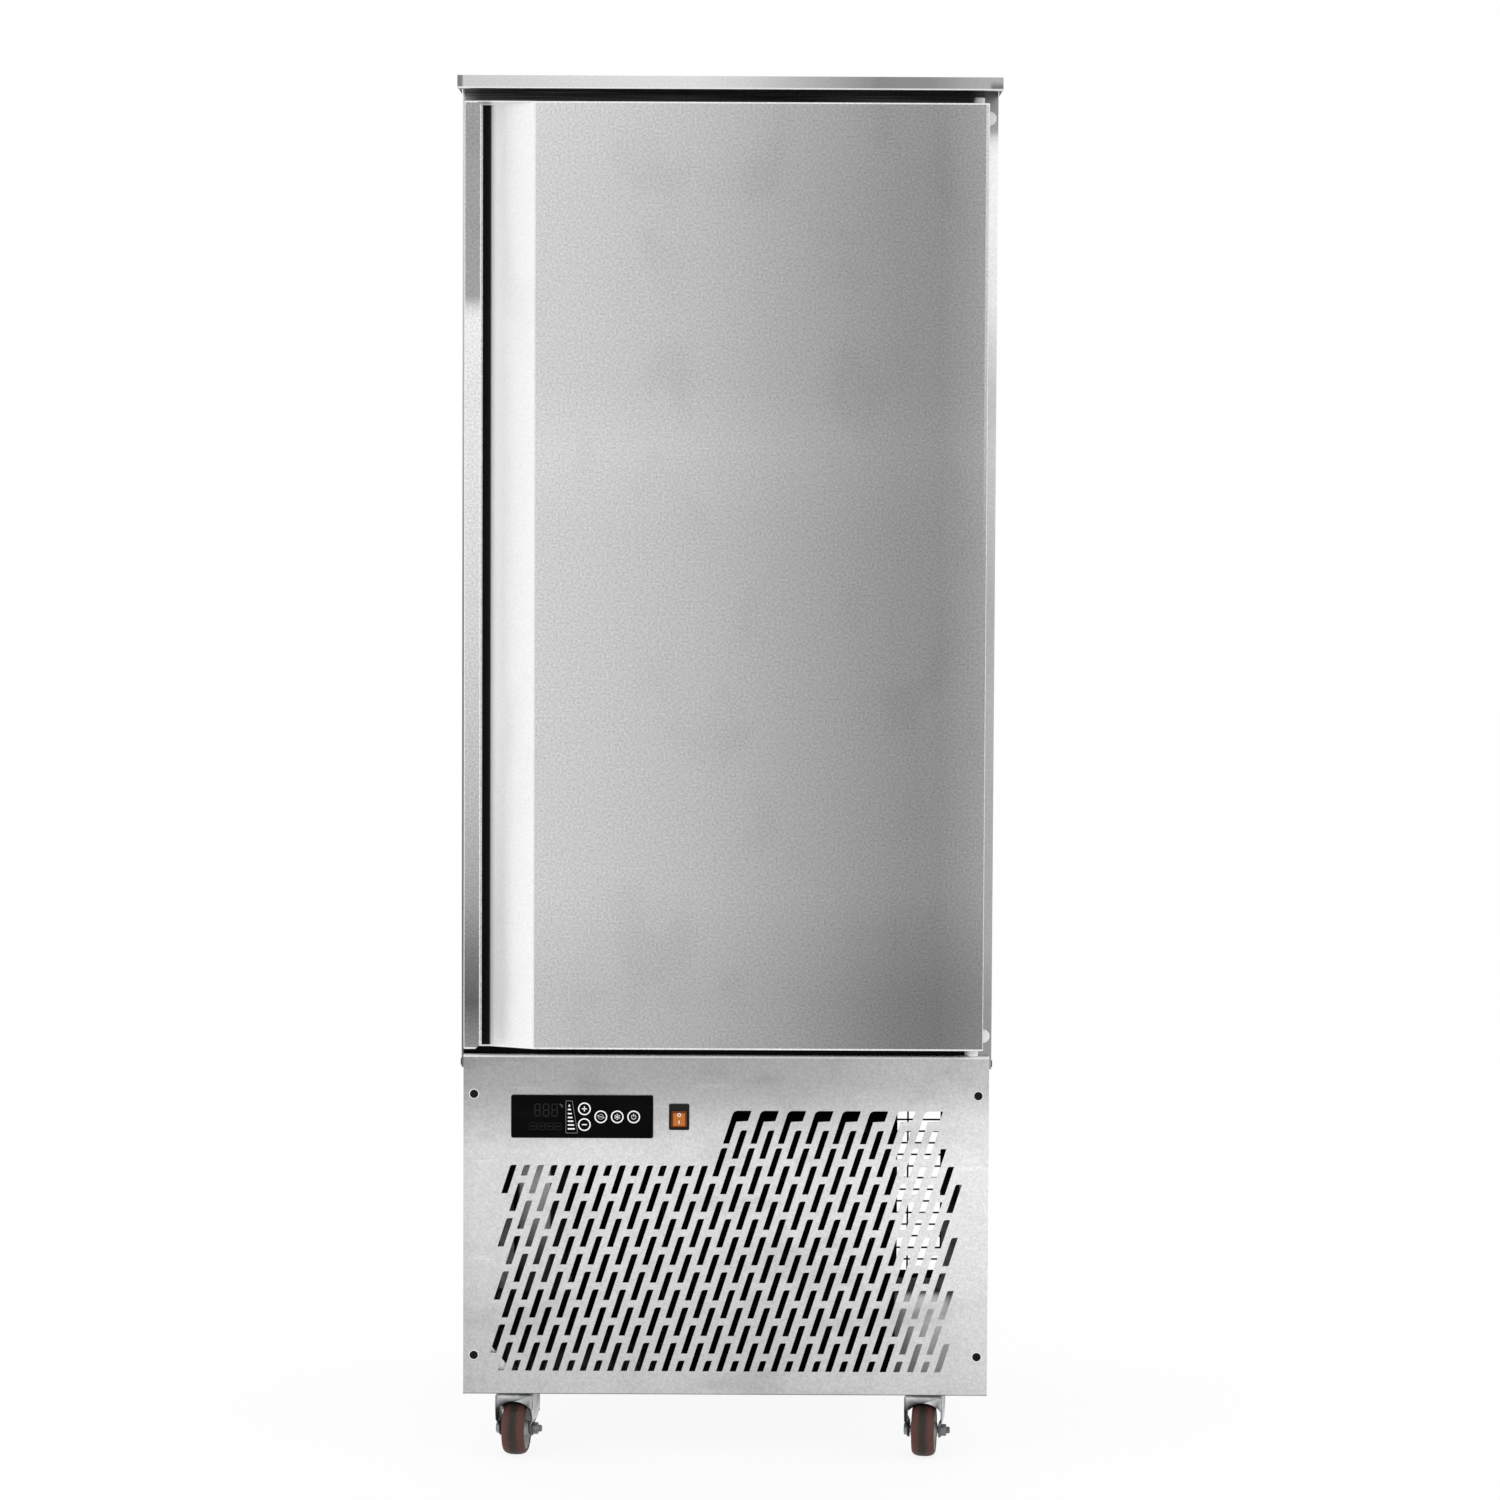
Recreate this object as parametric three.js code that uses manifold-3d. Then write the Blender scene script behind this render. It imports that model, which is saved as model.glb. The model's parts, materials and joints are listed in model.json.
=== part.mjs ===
// Upright blast chiller on four swivel casters: a foamed stainless cabinet with one door, and a
// machine compartment below it behind a panel with slanted slots, a controller and a switch.
// Millimetres, +Z up. X = 0 is the middle of the width, Y = 0 the middle of the depth with the
// front towards -Y, and Z = 0 the floor under the casters.
import * as THREE from 'three';
import { mergeVertices } from 'three/addons/utils/BufferGeometryUtils.js';
import Module from 'manifold-3d';

const wasm = await Module();
wasm.setup();

// ---------------------------------------------------------------- driving dimensions

const FIT = 0.3; // clearance between pieces that seat on each other
const SKIN = 1; // stainless sheet of case, liner, door and covers

// Cabinet
const CASE_WIDTH = 740;
const TOTAL_DEPTH = 800;
const TOTAL_HEIGHT = 1916;
const WALL = 55; // insulated side and rear walls
const FLOOR = 60;
const CEILING = 64;
const LOWER_HEIGHT = 464; // machine compartment, from base tray to cabinet underside
const SIDE_HEM = 14; // side skins reach this far below the cabinet underside
const MOUTH_WIDTH = 25; // plastic frame around the mouth of the chamber
const MOUTH_DEPTH = 6;

// Top cover
const SLAB_SHEET = 1.5;
const SLAB_BAND = 18; // height of its front band
const SLAB_OVERHANG = 1.5; // past the case at each side
const SLAB_RETURN = 14; // inward fold under the front band

// Door
const DOOR_THICKNESS = 65;
const DOOR_INSET_LEFT = 8.5;
const DOOR_INSET_RIGHT = 16.5;
const DOOR_GAP_TOP = 17;
const DOOR_GAP_BOTTOM = 16;
const GASKET_DEPTH = 12;
const GASKET_WIDTH = 20;
const GASKET_INSET = 2; // from the chamber wall to the gasket
const LINER_RAISE = 8; // pressed centre of the door's inner face
const LINER_RAISE_INSET = 15;

// Full-height grip recess at the door's left edge, measured from that edge and from the front
const GRIP_STRIP = 22.7;
const GRIP_LIP = 3;
const GRIP_SIDE = 6;
const GRIP_DEPTH = 32;
const GRIP_FLOOR_END = 34.5;
const GRIP_RAMP_END = 97;
const GRIP_CORNER = 5.5; // cut corners of the strip

// Door hinge
const HINGE_FROM_DOOR_EDGE = 12;
const HINGE_DEPTH = 35; // behind the door's front face
const HINGE_PIN_RADIUS = 5;
const HINGE_PIN_REACH = 20;
const HINGE_ARM = 14; // width of the arm that holds the pin
const HINGE_ARM_THICKNESS = 8;
const HINGE_GAP = 3; // between arm and door
const HINGE_EAR = 20; // height of the round-ended plate on the case
const HINGE_EAR_SHEET = 3;
const HINGE_EAR_DROP = 5; // its upper edge below the arm
const HINGE_EAR_INSET = 2.6; // from its round end to the side of the case
const HINGE_PLATE_GAP = 2.5; // beside the gasket

// Lower front panel
const PANEL_INSET = 3.5; // its edges inside the sides of the case
const PANEL_SHEET = 1.5;
const PANEL_DEPTH = 11.7; // its folded rim
const PANEL_DROP = 8; // below the base tray
const PANEL_RISE = 5; // above the cabinet underside
const PANEL_SCREW_SIDE = 15; // screws from its sides
const PANEL_SCREW_END = 55; // and from its top and bottom
const PANEL_SCREW_HOLE = 2.7;

// Slanted slots of the panel: leaning columns, each half a step lower than its neighbour
const SLOT_WIDTH = 8.7;
const SLOT_HEIGHT = 40;
const SLOT_LEAN = 0.324; // sideways shift for each unit of height
const SLOT_STEP_X = 38.15; // from slot to slot in a row
const SLOT_STEP_Z = 24.95; // from row to row
const SLOT_FROM_LEFT = 63.9; // panel's left edge to the first slot of the first whole row
const SLOT_FROM_TOP = 174.4; // panel's top edge to the middle of that row
const SLOT_MARGIN_RIGHT = 57; // least room past the last slot of a row
const SLOT_MARGIN_BOTTOM = 32;
const SLOT_RAISED_FROM = 7; // slots of the uppermost row left of the raised field
const HOOK_TOP = 22.5; // from the middle of a hooked slot's stem to the top of its head
const HOOK_STEM = 23.8; // from there to the stem's foot
const HOOK_HEAD_WIDTH = 24.8;
const HOOK_HEAD_HEIGHT = 15.5;
const HOOK_HEAD_RISE = 1; // its lower edge, from the stem to the tip
const HOOK_CORNER = 7;

// Controller
const CONTROLLER_WIDTH = 198;
const CONTROLLER_HEIGHT = 60;
const CONTROLLER_FROM_LEFT = 165.8; // from the panel's left edge to its middle
const CONTROLLER_BELOW_TOP = 86; // from the panel's top edge to its middle
const CONTROLLER_PROUD = 3;
const CONTROLLER_BEZEL = 8; // rim that covers the panel's cut-out
const CONTROLLER_BODY_DEPTH = 58;
const KEY_RADIUS = 9;
const KEY_SIDES = 10;
const KEY_THICKNESS = 2.2;
const KEY_PROUD = 0.4;
const KEY_TRAVEL = 0.8;
const KEY_COLUMNS = 22.9; // spacing of the key columns
const KEY_PAIR_X = 3.2; // first key column right of the controller's middle
const KEY_PAIR_SPACING = 22.1; // the two stacked keys

// Power switch
const SWITCH_WIDTH = 28.3;
const SWITCH_HEIGHT = 36.4;
const SWITCH_FROM_LEFT = 301;
const SWITCH_PROUD = 3;
const SWITCH_BODY_DEPTH = 30;
const SWITCH_BEZEL = 1.2;
const ROCKER_WIDTH = 22.4;
const ROCKER_RADIUS = 12; // its ends turn about the pivot at this radius
const ROCKER_DROP = 3.2; // pivot below the middle of the switch
const ROCKER_TILT = 10; // degrees each way from the middle

// Base tray and posts
const TRAY_SHEET = 2;
const TRAY_RIM = 22;
const POST_LEG = 26;
const POST_SHEET = 2;
const GUSSET_WIDTH = 50;
const GUSSET_HEIGHT = 90;

// Covers of the machine compartment, the rear one with a slotted vent on the right
const COVER_FOOT = 16; // fold of the side covers under the tray
const VENT_PITCH = 18.6;
const VENT_BAR = 2.8;
const VENT_LIFT = 34.5; // above the base tray's underside
const VENT_MARGIN_TOP = 165; // least room above it
const VENT_WIDTH = 68.3;
const VENT_FROM_SIDE = 28.4;
const VENT_POST = 16.7; // its upright bar, from its left edge

// Tray racks in the chamber
const RACK_PITCH = 95;
const RACK_FIRST = 66; // lowest runner above the chamber floor
const RACK_MARGIN_TOP = 110; // least room above the highest runner
const RACK_START = 25; // behind the mouth
const RACK_END_GAP = 18; // in front of the fan cover
const RUNNER_LEDGE = 30;
const RUNNER_RISE = 12;
const RUNNER_SHEET = 2;
const RACK_POST_WIDTH = 25;
const RACK_POST_DEPTH = 11;
const RACK_POST_INSET = 40;

// Evaporator and its fans, behind the fan cover
const COVER_FROM_BACK = 215;
const COVER_RIM = 20;
const COVER_SHEET = 1.5;
const COVER_SIDE_GAP = 15;
const COVER_END_GAP = 20;
const EVAPORATOR_FAN_RADIUS = 120;
const EVAPORATOR_DEPTH = 100;
const EVAPORATOR_PLATE_SHEET = 2;
const EVAPORATOR_PLATE_INSET = 12; // inside the sides of the fan cover
const EVAPORATOR_END_GAP = 53; // its plates from the chamber's floor and ceiling
const EVAPORATOR_CORE_INSET = 10; // coil block below its plates' ends

// Fans, guards and motors
const FAN_GAP = 8; // blade tips to opening
const FAN_HUB_RADIUS = 28;
const FAN_HUB_LENGTH = 26;
const FAN_BLADES = 5;
const FAN_BLADE_SHEET = 2;
const FAN_BLADE_PITCH = 24; // degrees
const FAN_BLADE_SWEEP = 22; // degrees each way from its middle
const FAN_BLADE_ROOT = 24; // width at the hub
const FAN_TO_COVER = 28; // middle of the fan behind its opening
const GUARD_RINGS = 2;
const GUARD_SIDES = 10;
const GUARD_WIRE = 4;
const GUARD_THICKNESS = 3;
const GUARD_LAP = 2; // its spokes run this far into the sheet
const MOTOR_RADIUS = 40;
const MOTOR_LENGTH = 43;
const SHAFT_RADIUS = 4;
const MOTOR_BAR = 18;
const MOTOR_BAR_SHEET = 2.5;
const MOTOR_LEG_GAP = 20; // from blade tips to the motor's legs
const MOTOR_FROM_HUB = 6;

// Condensing unit
const CONDENSER_X = 75;
const CONDENSER_FRONT = 65; // behind the mouth plane
const CONDENSER_WIDTH = 330;
const CONDENSER_HEIGHT = 340;
const CONDENSER_DEPTH = 66;
const CONDENSER_FAN_RADIUS = 130;
const CONDENSER_CORE_INSET = 5; // coil block inside its end plates
const CONDENSER_MOTOR_GAP = 1;
const SHROUD_DEPTH = 60;
const COMPRESSOR_X = -150;
const COMPRESSOR_FROM_BACK = 270;
const COMPRESSOR_RADIUS = 92;
const COMPRESSOR_HEIGHT = 235;
const COMPRESSOR_SHELL = [ // shares of its radius and height, from the bottom up
  [0, 0.08], [0.7, 0.09], [0.94, 0.18], [0.94, 0.5], [1, 0.51],
  [1, 0.56], [0.94, 0.58], [0.92, 0.82], [0.68, 0.95], [0, 1],
];
const COMPRESSOR_FOOT_SHEET = 3;
const RECEIVER_X = 110;
const RECEIVER_FROM_BACK = 150;
const RECEIVER_RADIUS = 45;
const RECEIVER_LENGTH = 260;
const RECEIVER_LIFT = 22; // above the base tray
const RECEIVER_HEAD = 26; // depth of its domed ends
const RECEIVER_SADDLE = 18;
const LINE_RADIUS = 9;
const LINE_SOCKET = 20; // stub on the compressor
const LINE_OFFSET = 120; // from the stub towards the rear
const ELECTRICS_X = -264;
const ELECTRICS_WIDTH = 72;
const ELECTRICS_DEPTH = 140;
const ELECTRICS_HEIGHT = 190;
const ELECTRICS_LIFT = 122; // above the base tray
const ELECTRICS_LEG = 24;

// Casters
const CASTER_HEIGHT = 100;
const CASTER_FROM_LEFT = 78;
const CASTER_FROM_RIGHT = 88;
const CASTER_FROM_FRONT = 33; // behind the front of the base tray
const CASTER_FROM_BACK = 60;
const CASTER_TURN = -7; // degrees about the swivel, as they stand
const CASTER_PLATE = 72;
const CASTER_PLATE_SHEET = 3;
const CASTER_HOLE_INSET = 11;
const CASTER_HOLE = 4;
const CASTER_TRAIL = 12;
const RACEWAY_RADIUS = 23;
const RACEWAY_DEPTH = 8.7;
const WHEEL_RADIUS = 0.38 * CASTER_HEIGHT;
const WHEEL_SIDES = 16;
const TYRE_WIDTH = 32;
const TYRE_THICKNESS = 8;
const TYRE_SHOULDER = 5; // drop of its crown at the sides
const TYRE_CROWN = 18; // width of the crown
const HUB_WIDTH = 37;
const HUB_BORE = 5.4;
const HUB_BOSS = 11;
const HUB_DISH = 8; // depth of the wheel's dished sides
const AXLE_RADIUS = 5;
const AXLE_HEAD = 5;
const AXLE_NUT = 8.5; // radius over the corners of head and nut
const AXLE_NUT_LENGTH = 8;
const AXLE_TIP = 5;
const FORK_WIDTH = 54;
const FORK_FOOT_WIDTH = 46;
const FORK_SHEET = 2.5;
const FORK_LENGTH = 62;
const FORK_CROWN = 3; // radius of its upper corners
const FORK_EYE = 11; // radius of its feet
const FORK_KNEE = 14; // above the axle, where its legs turn inwards
const FORK_SKIRT = 10; // height of its front end in the middle
const FORK_ARCH = 12; // further drop of that end towards the legs

// ---------------------------------------------------------------- levels that follow from them

const frontY = -TOTAL_DEPTH / 2;
const backY = TOTAL_DEPTH / 2;
const caseHalf = CASE_WIDTH / 2;
const panelHalf = caseHalf - PANEL_INSET;
const bodyFront = frontY + DOOR_THICKNESS + GASKET_DEPTH;
const bodyBottom = CASTER_HEIGHT + LOWER_HEIGHT;
const bodyTop = TOTAL_HEIGHT - SLAB_SHEET - FIT;
const chamberHalf = caseHalf - WALL;
const chamberBottom = bodyBottom + FLOOR;
const chamberTop = bodyTop - CEILING;
const chamberBack = backY - WALL;
const panelBottom = CASTER_HEIGHT - PANEL_DROP;
const panelTop = bodyBottom + PANEL_RISE;
const panelFront = bodyFront - FIT - PANEL_DEPTH;
const doorLeft = -caseHalf + DOOR_INSET_LEFT;
const doorRight = caseHalf - DOOR_INSET_RIGHT;
const doorBottom = panelTop + DOOR_GAP_BOTTOM;
const doorTop = TOTAL_HEIGHT - SLAB_BAND - DOOR_GAP_TOP;
const doorBack = frontY + DOOR_THICKNESS;
const hingeX = doorRight - HINGE_FROM_DOOR_EDGE;
const hingeY = frontY + HINGE_DEPTH;
const trayTop = CASTER_HEIGHT + TRAY_SHEET;
const trayHalf = panelHalf - SKIN - FIT;
const trayBack = backY - SKIN - FIT;
const controllerZ = panelTop - CONTROLLER_BELOW_TOP;
const controllerMiddle = CONTROLLER_FROM_LEFT - panelHalf;
const switchMiddle = SWITCH_FROM_LEFT - panelHalf;
const coverFront = chamberBack - COVER_FROM_BACK;
const coverBack = coverFront + COVER_SHEET;
const compressorY = backY - COMPRESSOR_FROM_BACK;
const receiverY = backY - RECEIVER_FROM_BACK;
const chamberHeight = chamberTop - chamberBottom;

// ---------------------------------------------------------------- solids

const TURN = Math.PI * 2;
const radians = THREE.MathUtils.degToRad;
const AXES = {
  x: new THREE.Matrix4().set(0, 0, 1, 0, 1, 0, 0, 0, 0, 1, 0, 0, 0, 0, 0, 1),
  y: new THREE.Matrix4().set(1, 0, 0, 0, 0, 0, -1, 0, 0, 1, 0, 0, 0, 0, 0, 1),
  z: new THREE.Matrix4(),
};

// A closed geometry as a solid that can be joined and cut
function solidOf(geometry) {
  geometry.deleteAttribute('normal');
  geometry.deleteAttribute('uv');
  const merged = mergeVertices(geometry);
  const index = merged.index.array;
  const triangles = [];
  for (let i = 0; i < index.length; i += 3) {
    const [a, b, c] = [index[i], index[i + 1], index[i + 2]];
    if (a !== b && b !== c && c !== a) triangles.push(a, b, c);
  }
  return new wasm.Manifold(new wasm.Mesh({
    numProp: 3,
    vertProperties: new Float32Array(merged.attributes.position.array),
    triVerts: new Uint32Array(triangles),
  }));
}

function geometryOf(solid) {
  const { vertProperties, triVerts } = solid.getMesh();
  const geometry = new THREE.BufferGeometry();
  geometry.setAttribute('position', new THREE.BufferAttribute(vertProperties, 3));
  geometry.setIndex(new THREE.BufferAttribute(triVerts, 1));
  geometry.computeVertexNormals();
  return geometry;
}

function join(...solids) {
  return wasm.Manifold.union(solids.flat());
}

function cut(solid, ...tools) {
  return solid.subtract(join(...tools));
}

function box([x0, x1], [y0, y1], [z0, z1]) {
  const geometry = new THREE.BoxGeometry(x1 - x0, y1 - y0, z1 - z0);
  geometry.translate((x0 + x1) / 2, (y0 + y1) / 2, (z0 + z1) / 2);
  return solidOf(geometry);
}

// An outline pushed along an axis. Its points are [x, y] along z, [y, z] along x, [x, z] along y.
function prism(axis, outline, [from, to], holes = []) {
  const vectors = (points) => points.map(([a, b]) => new THREE.Vector2(a, b));
  const shape = new THREE.Shape(vectors(outline));
  shape.holes = holes.map((hole) => new THREE.Path(vectors(hole)));
  const geometry = new THREE.ExtrudeGeometry(shape, { depth: to - from, bevelEnabled: false });
  geometry.translate(0, 0, axis === 'y' ? -to : from);
  geometry.applyMatrix4(AXES[axis]);
  return solidOf(geometry);
}

// Points of an arc, both ends included
function arc([a, b], radius, start, end, steps) {
  return Array.from({ length: steps + 1 }, (_, i) => {
    const angle = radians(start + ((end - start) * i) / steps);
    return [a + radius * Math.cos(angle), b + radius * Math.sin(angle)];
  });
}

function circle(centre, radius, sides) {
  const half = 180 / sides;
  return arc(centre, radius, -90 + half, 270 - half, sides - 1);
}

function rectangle([a0, a1], [b0, b1]) {
  return [[a0, b0], [a1, b0], [a1, b1], [a0, b1]];
}

function rod(axis, centre, radius, span, sides = 12) {
  return prism(axis, circle(centre, radius, sides), span);
}

function ring(axis, centre, radius, bore, span, sides) {
  return prism(axis, circle(centre, radius, sides), span, [circle(centre, bore, sides)]);
}

// A profile of [radius, height] turned about the z axis
function turned(profile, sides) {
  const points = profile.map(([r, h]) => new THREE.Vector2(r, h));
  const geometry = new THREE.LatheGeometry(points, sides, TURN / sides / 2);
  geometry.applyMatrix4(AXES.y);
  geometry.scale(1, -1, 1);
  return solidOf(flipped(geometry));
}

function flipped(geometry) {
  const index = geometry.index;
  for (let i = 0; i < index.count; i += 3) {
    const a = index.getX(i);
    index.setX(i, index.getX(i + 1));
    index.setX(i + 1, a);
  }
  return geometry;
}

const grow = ([a, b], by) => [a - by, b + by];
const around = (middle, half) => [middle - half, middle + half];
const symmetric = (half) => around(0, half);
const span = (a, b) => (a < b ? [a, b] : [b, a]);

// The slice of a thickness inside an edge of something about a middle
function slice(edge, thickness, middle = 0) {
  return span(edge, edge - Math.sign(edge - middle) * thickness);
}

// ---------------------------------------------------------------- finishes and node helper

const finishes = {
  steel: { color: 0xc3c4c6, roughness: 0.38, metalness: 0.9 },
  liner: { color: 0xd0d2d4, roughness: 0.3, metalness: 0.9 },
  zinc: { color: 0xb4b7ba, roughness: 0.35, metalness: 0.85 },
  foam: { color: 0xe8dfb8, roughness: 0.95, metalness: 0 },
  blackGloss: { color: 0x0b0b0c, roughness: 0.12, metalness: 0 },
  blackMatt: { color: 0x161617, roughness: 0.6, metalness: 0 },
  greyPlastic: { color: 0x6d7073, roughness: 0.5, metalness: 0 },
  rubber: { color: 0x26262a, roughness: 0.75, metalness: 0 },
  tyre: { color: 0x5c2f2b, roughness: 0.6, metalness: 0 },
  hub: { color: 0xb9bcbb, roughness: 0.5, metalness: 0 },
  amber: { color: 0xc8731d, roughness: 0.3, metalness: 0 },
  aluminium: { color: 0xa9adb0, roughness: 0.45, metalness: 0.8 },
  copper: { color: 0xb06a42, roughness: 0.4, metalness: 0.9 },
};

const materials = Object.fromEntries(
  Object.entries(finishes).map(([name, look]) => [name, new THREE.MeshStandardMaterial(look)]),
);

function node(name, solid, finish) {
  const mesh = new THREE.Mesh(geometryOf(solid), materials[finish]);
  mesh.name = name;
  return mesh;
}

// ---------------------------------------------------------------- cabinet

const mouthX = symmetric(chamberHalf + MOUTH_WIDTH);
const mouthZ = [chamberBottom - MOUTH_WIDTH, chamberTop + MOUTH_WIDTH];
const caseX = symmetric(caseHalf);
const caseY = [bodyFront, backY];
const caseZ = [bodyBottom, bodyTop];
const chamberX = symmetric(chamberHalf);
const chamberZ = [chamberBottom, chamberTop];
const linerY = [bodyFront + MOUTH_DEPTH + FIT, chamberBack];

function cabinetShell() {
  const hemZ = [bodyBottom - SIDE_HEM, bodyBottom + SKIN];
  return cut(
    join(
      box(caseX, caseY, caseZ),
      box([-caseHalf, -caseHalf + SKIN], caseY, hemZ),
      box([caseHalf - SKIN, caseHalf], caseY, hemZ),
    ),
    box(grow(caseX, -SKIN), grow(caseY, -SKIN), grow(caseZ, -SKIN)),
    box(mouthX, [bodyFront - SKIN, bodyFront + 2 * SKIN], mouthZ),
  );
}

function cabinetInsulation() {
  const inset = SKIN + FIT;
  return cut(
    box(grow(caseX, -inset), grow(caseY, -inset), grow(caseZ, -inset)),
    box(grow(mouthX, FIT), [bodyFront, linerY[0]], grow(mouthZ, FIT)),
    box(grow(chamberX, inset), [bodyFront, chamberBack + inset], grow(chamberZ, inset)),
  );
}

function innerLiner() {
  return cut(
    box(grow(chamberX, SKIN), [linerY[0], chamberBack + SKIN], grow(chamberZ, SKIN)),
    box(chamberX, [bodyFront, chamberBack], chamberZ),
  );
}

function mouthFrame() {
  const outer = rectangle(grow(mouthX, -FIT), grow(mouthZ, -FIT));
  const inner = rectangle(chamberX, chamberZ);
  return prism('y', outer, [bodyFront, bodyFront + MOUTH_DEPTH], [inner]);
}

// Sheet cap whose folded front band stands out over the door
function topCover() {
  const x = symmetric(caseHalf + SLAB_OVERHANG);
  const bandBottom = TOTAL_HEIGHT - SLAB_BAND;
  const foldY = [frontY, frontY + SLAB_RETURN];
  const sheetZ = [TOTAL_HEIGHT - SLAB_SHEET, TOTAL_HEIGHT];
  return join(
    box(x, [frontY, backY], sheetZ),
    box(x, [frontY, frontY + SLAB_SHEET], [bandBottom, TOTAL_HEIGHT]),
    box(x, foldY, [bandBottom, bandBottom + SLAB_SHEET]),
    x.map((edge) => (
      box(slice(edge, SKIN), [frontY, bodyFront - FIT], [bandBottom, TOTAL_HEIGHT])
    )),
  );
}

// Plate with a round end on the case, an arm over the door's end and the pin that enters it.
// up is +1 above the door and -1 below it.
function hingeBracket(up, doorEnd) {
  const armZ = [doorEnd + up * HINGE_GAP, doorEnd + up * (HINGE_GAP + HINGE_ARM_THICKNESS)];
  const earRadius = HINGE_EAR / 2;
  const earX = caseHalf - HINGE_EAR_INSET - earRadius;
  const earZ = armZ[0] - up * (earRadius + HINGE_EAR_DROP);
  const plateLeft = gasketOuterX[1] + HINGE_PLATE_GAP;
  const plateY = [bodyFront - FIT - HINGE_EAR_SHEET, bodyFront - FIT];
  const ear = [
    [plateLeft, earZ - earRadius],
    ...arc([earX, earZ], earRadius, -90, 90, 5),
    [plateLeft, earZ + earRadius],
  ];
  const neck = box([plateLeft, hingeX + HINGE_ARM / 2], plateY, span(earZ, armZ[1]));
  const arm = [
    [hingeX + HINGE_ARM / 2, plateY[1]],
    [hingeX - HINGE_ARM / 2, plateY[1]],
    ...arc([hingeX, hingeY], HINGE_ARM / 2, 180, 360, 5),
  ];
  const pinZ = span(doorEnd - up * HINGE_PIN_REACH, armZ[1]);
  return join(
    prism('y', ear, plateY),
    neck,
    prism('z', arm, span(...armZ)),
    rod('z', [hingeX, hingeY], HINGE_PIN_RADIUS, pinZ, 10),
  );
}

// ---------------------------------------------------------------- door

const doorX = [doorLeft, doorRight];
const doorY = [frontY, doorBack];
const doorZ = [doorBottom, doorTop];
const gasketOuterX = symmetric(chamberHalf + GASKET_INSET + GASKET_WIDTH);
const gasketOuterZ = [
  chamberBottom - GASKET_INSET - GASKET_WIDTH,
  chamberTop + GASKET_INSET + GASKET_WIDTH,
];

// Plan of the space inside the door's sheet, kept clear of it by a gap
function doorHollow(gap) {
  const wall = SKIN + gap;
  const slope = (GRIP_RAMP_END - GRIP_FLOOR_END) / GRIP_DEPTH;
  const shift = wall * (Math.hypot(1, slope) - slope);
  const outline = [
    [doorLeft + wall, frontY + GRIP_LIP + gap],
    [doorLeft + GRIP_SIDE - wall, frontY + GRIP_LIP + gap],
    [doorLeft + GRIP_SIDE - wall, frontY + GRIP_DEPTH + wall],
    [doorLeft + GRIP_FLOOR_END + shift, frontY + GRIP_DEPTH + wall],
    [doorLeft + GRIP_RAMP_END + wall * Math.hypot(1, slope) - wall * slope, frontY + wall],
    [doorRight - wall, frontY + wall],
    [doorRight - wall, doorBack],
    [doorLeft + wall, doorBack],
  ];
  return outline;
}

function pinSockets(radius, clearance) {
  const reach = HINGE_PIN_REACH + clearance;
  return [
    rod('z', [hingeX, hingeY], radius, [doorBottom - 1, doorBottom + reach], 10),
    rod('z', [hingeX, hingeY], radius, [doorTop - reach, doorTop + 1], 10),
  ];
}

function doorSkin() {
  const left = doorLeft;
  const recess = [
    [left + GRIP_STRIP, frontY - 1],
    [left + GRIP_STRIP, frontY + GRIP_LIP],
    [left + GRIP_SIDE, frontY + GRIP_LIP],
    [left + GRIP_SIDE, frontY + GRIP_DEPTH],
    [left + GRIP_FLOOR_END, frontY + GRIP_DEPTH],
    [left + GRIP_RAMP_END, frontY],
    [left + GRIP_RAMP_END, frontY - 1],
  ];
  const innerZ = grow(doorZ, -SKIN);
  const edge = left + GRIP_STRIP;
  const clip = (z, up) => [
    [edge - GRIP_CORNER - 1, z - up],
    [edge + 1, z - up],
    [edge + 1, z + up * (GRIP_CORNER + 1)],
  ];
  const lipY = [frontY - 1, frontY + GRIP_LIP + 1];
  const hollow = doorHollow(0).map(([x, y]) => [x, y === doorBack ? doorBack + 1 : y]);
  return cut(
    box(doorX, doorY, doorZ),
    prism('z', hollow, innerZ),
    prism('z', recess, grow(doorZ, 1)),
    prism('y', clip(doorZ[0], 1), lipY),
    prism('y', clip(doorZ[1], -1).reverse(), lipY),
    pinSockets(HINGE_PIN_RADIUS + 2 * FIT, 2),
  );
}

function doorInsulation() {
  const linerFront = doorBack - SKIN - FIT;
  const outline = doorHollow(FIT).map(([x, y]) => [x, Math.min(y, linerFront)]);
  return cut(
    prism('z', outline, grow(doorZ, -SKIN - FIT)),
    pinSockets(HINGE_PIN_RADIUS + 3 * FIT, 3),
  );
}

// Pressed inner face of the door with a raised centre inside the gasket
function doorLiner() {
  const edge = SKIN + FIT;
  const raiseX = symmetric(chamberHalf - LINER_RAISE_INSET);
  const raiseZ = grow(chamberZ, -LINER_RAISE_INSET);
  return cut(
    join(
      box(grow(doorX, -edge), [doorBack - SKIN, doorBack], grow(doorZ, -edge)),
      box(raiseX, [doorBack - SKIN, doorBack + LINER_RAISE], raiseZ),
    ),
    box(
      grow(raiseX, -SKIN),
      [doorBack - 2 * SKIN, doorBack + LINER_RAISE - SKIN],
      grow(raiseZ, -SKIN),
    ),
  );
}

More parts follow.
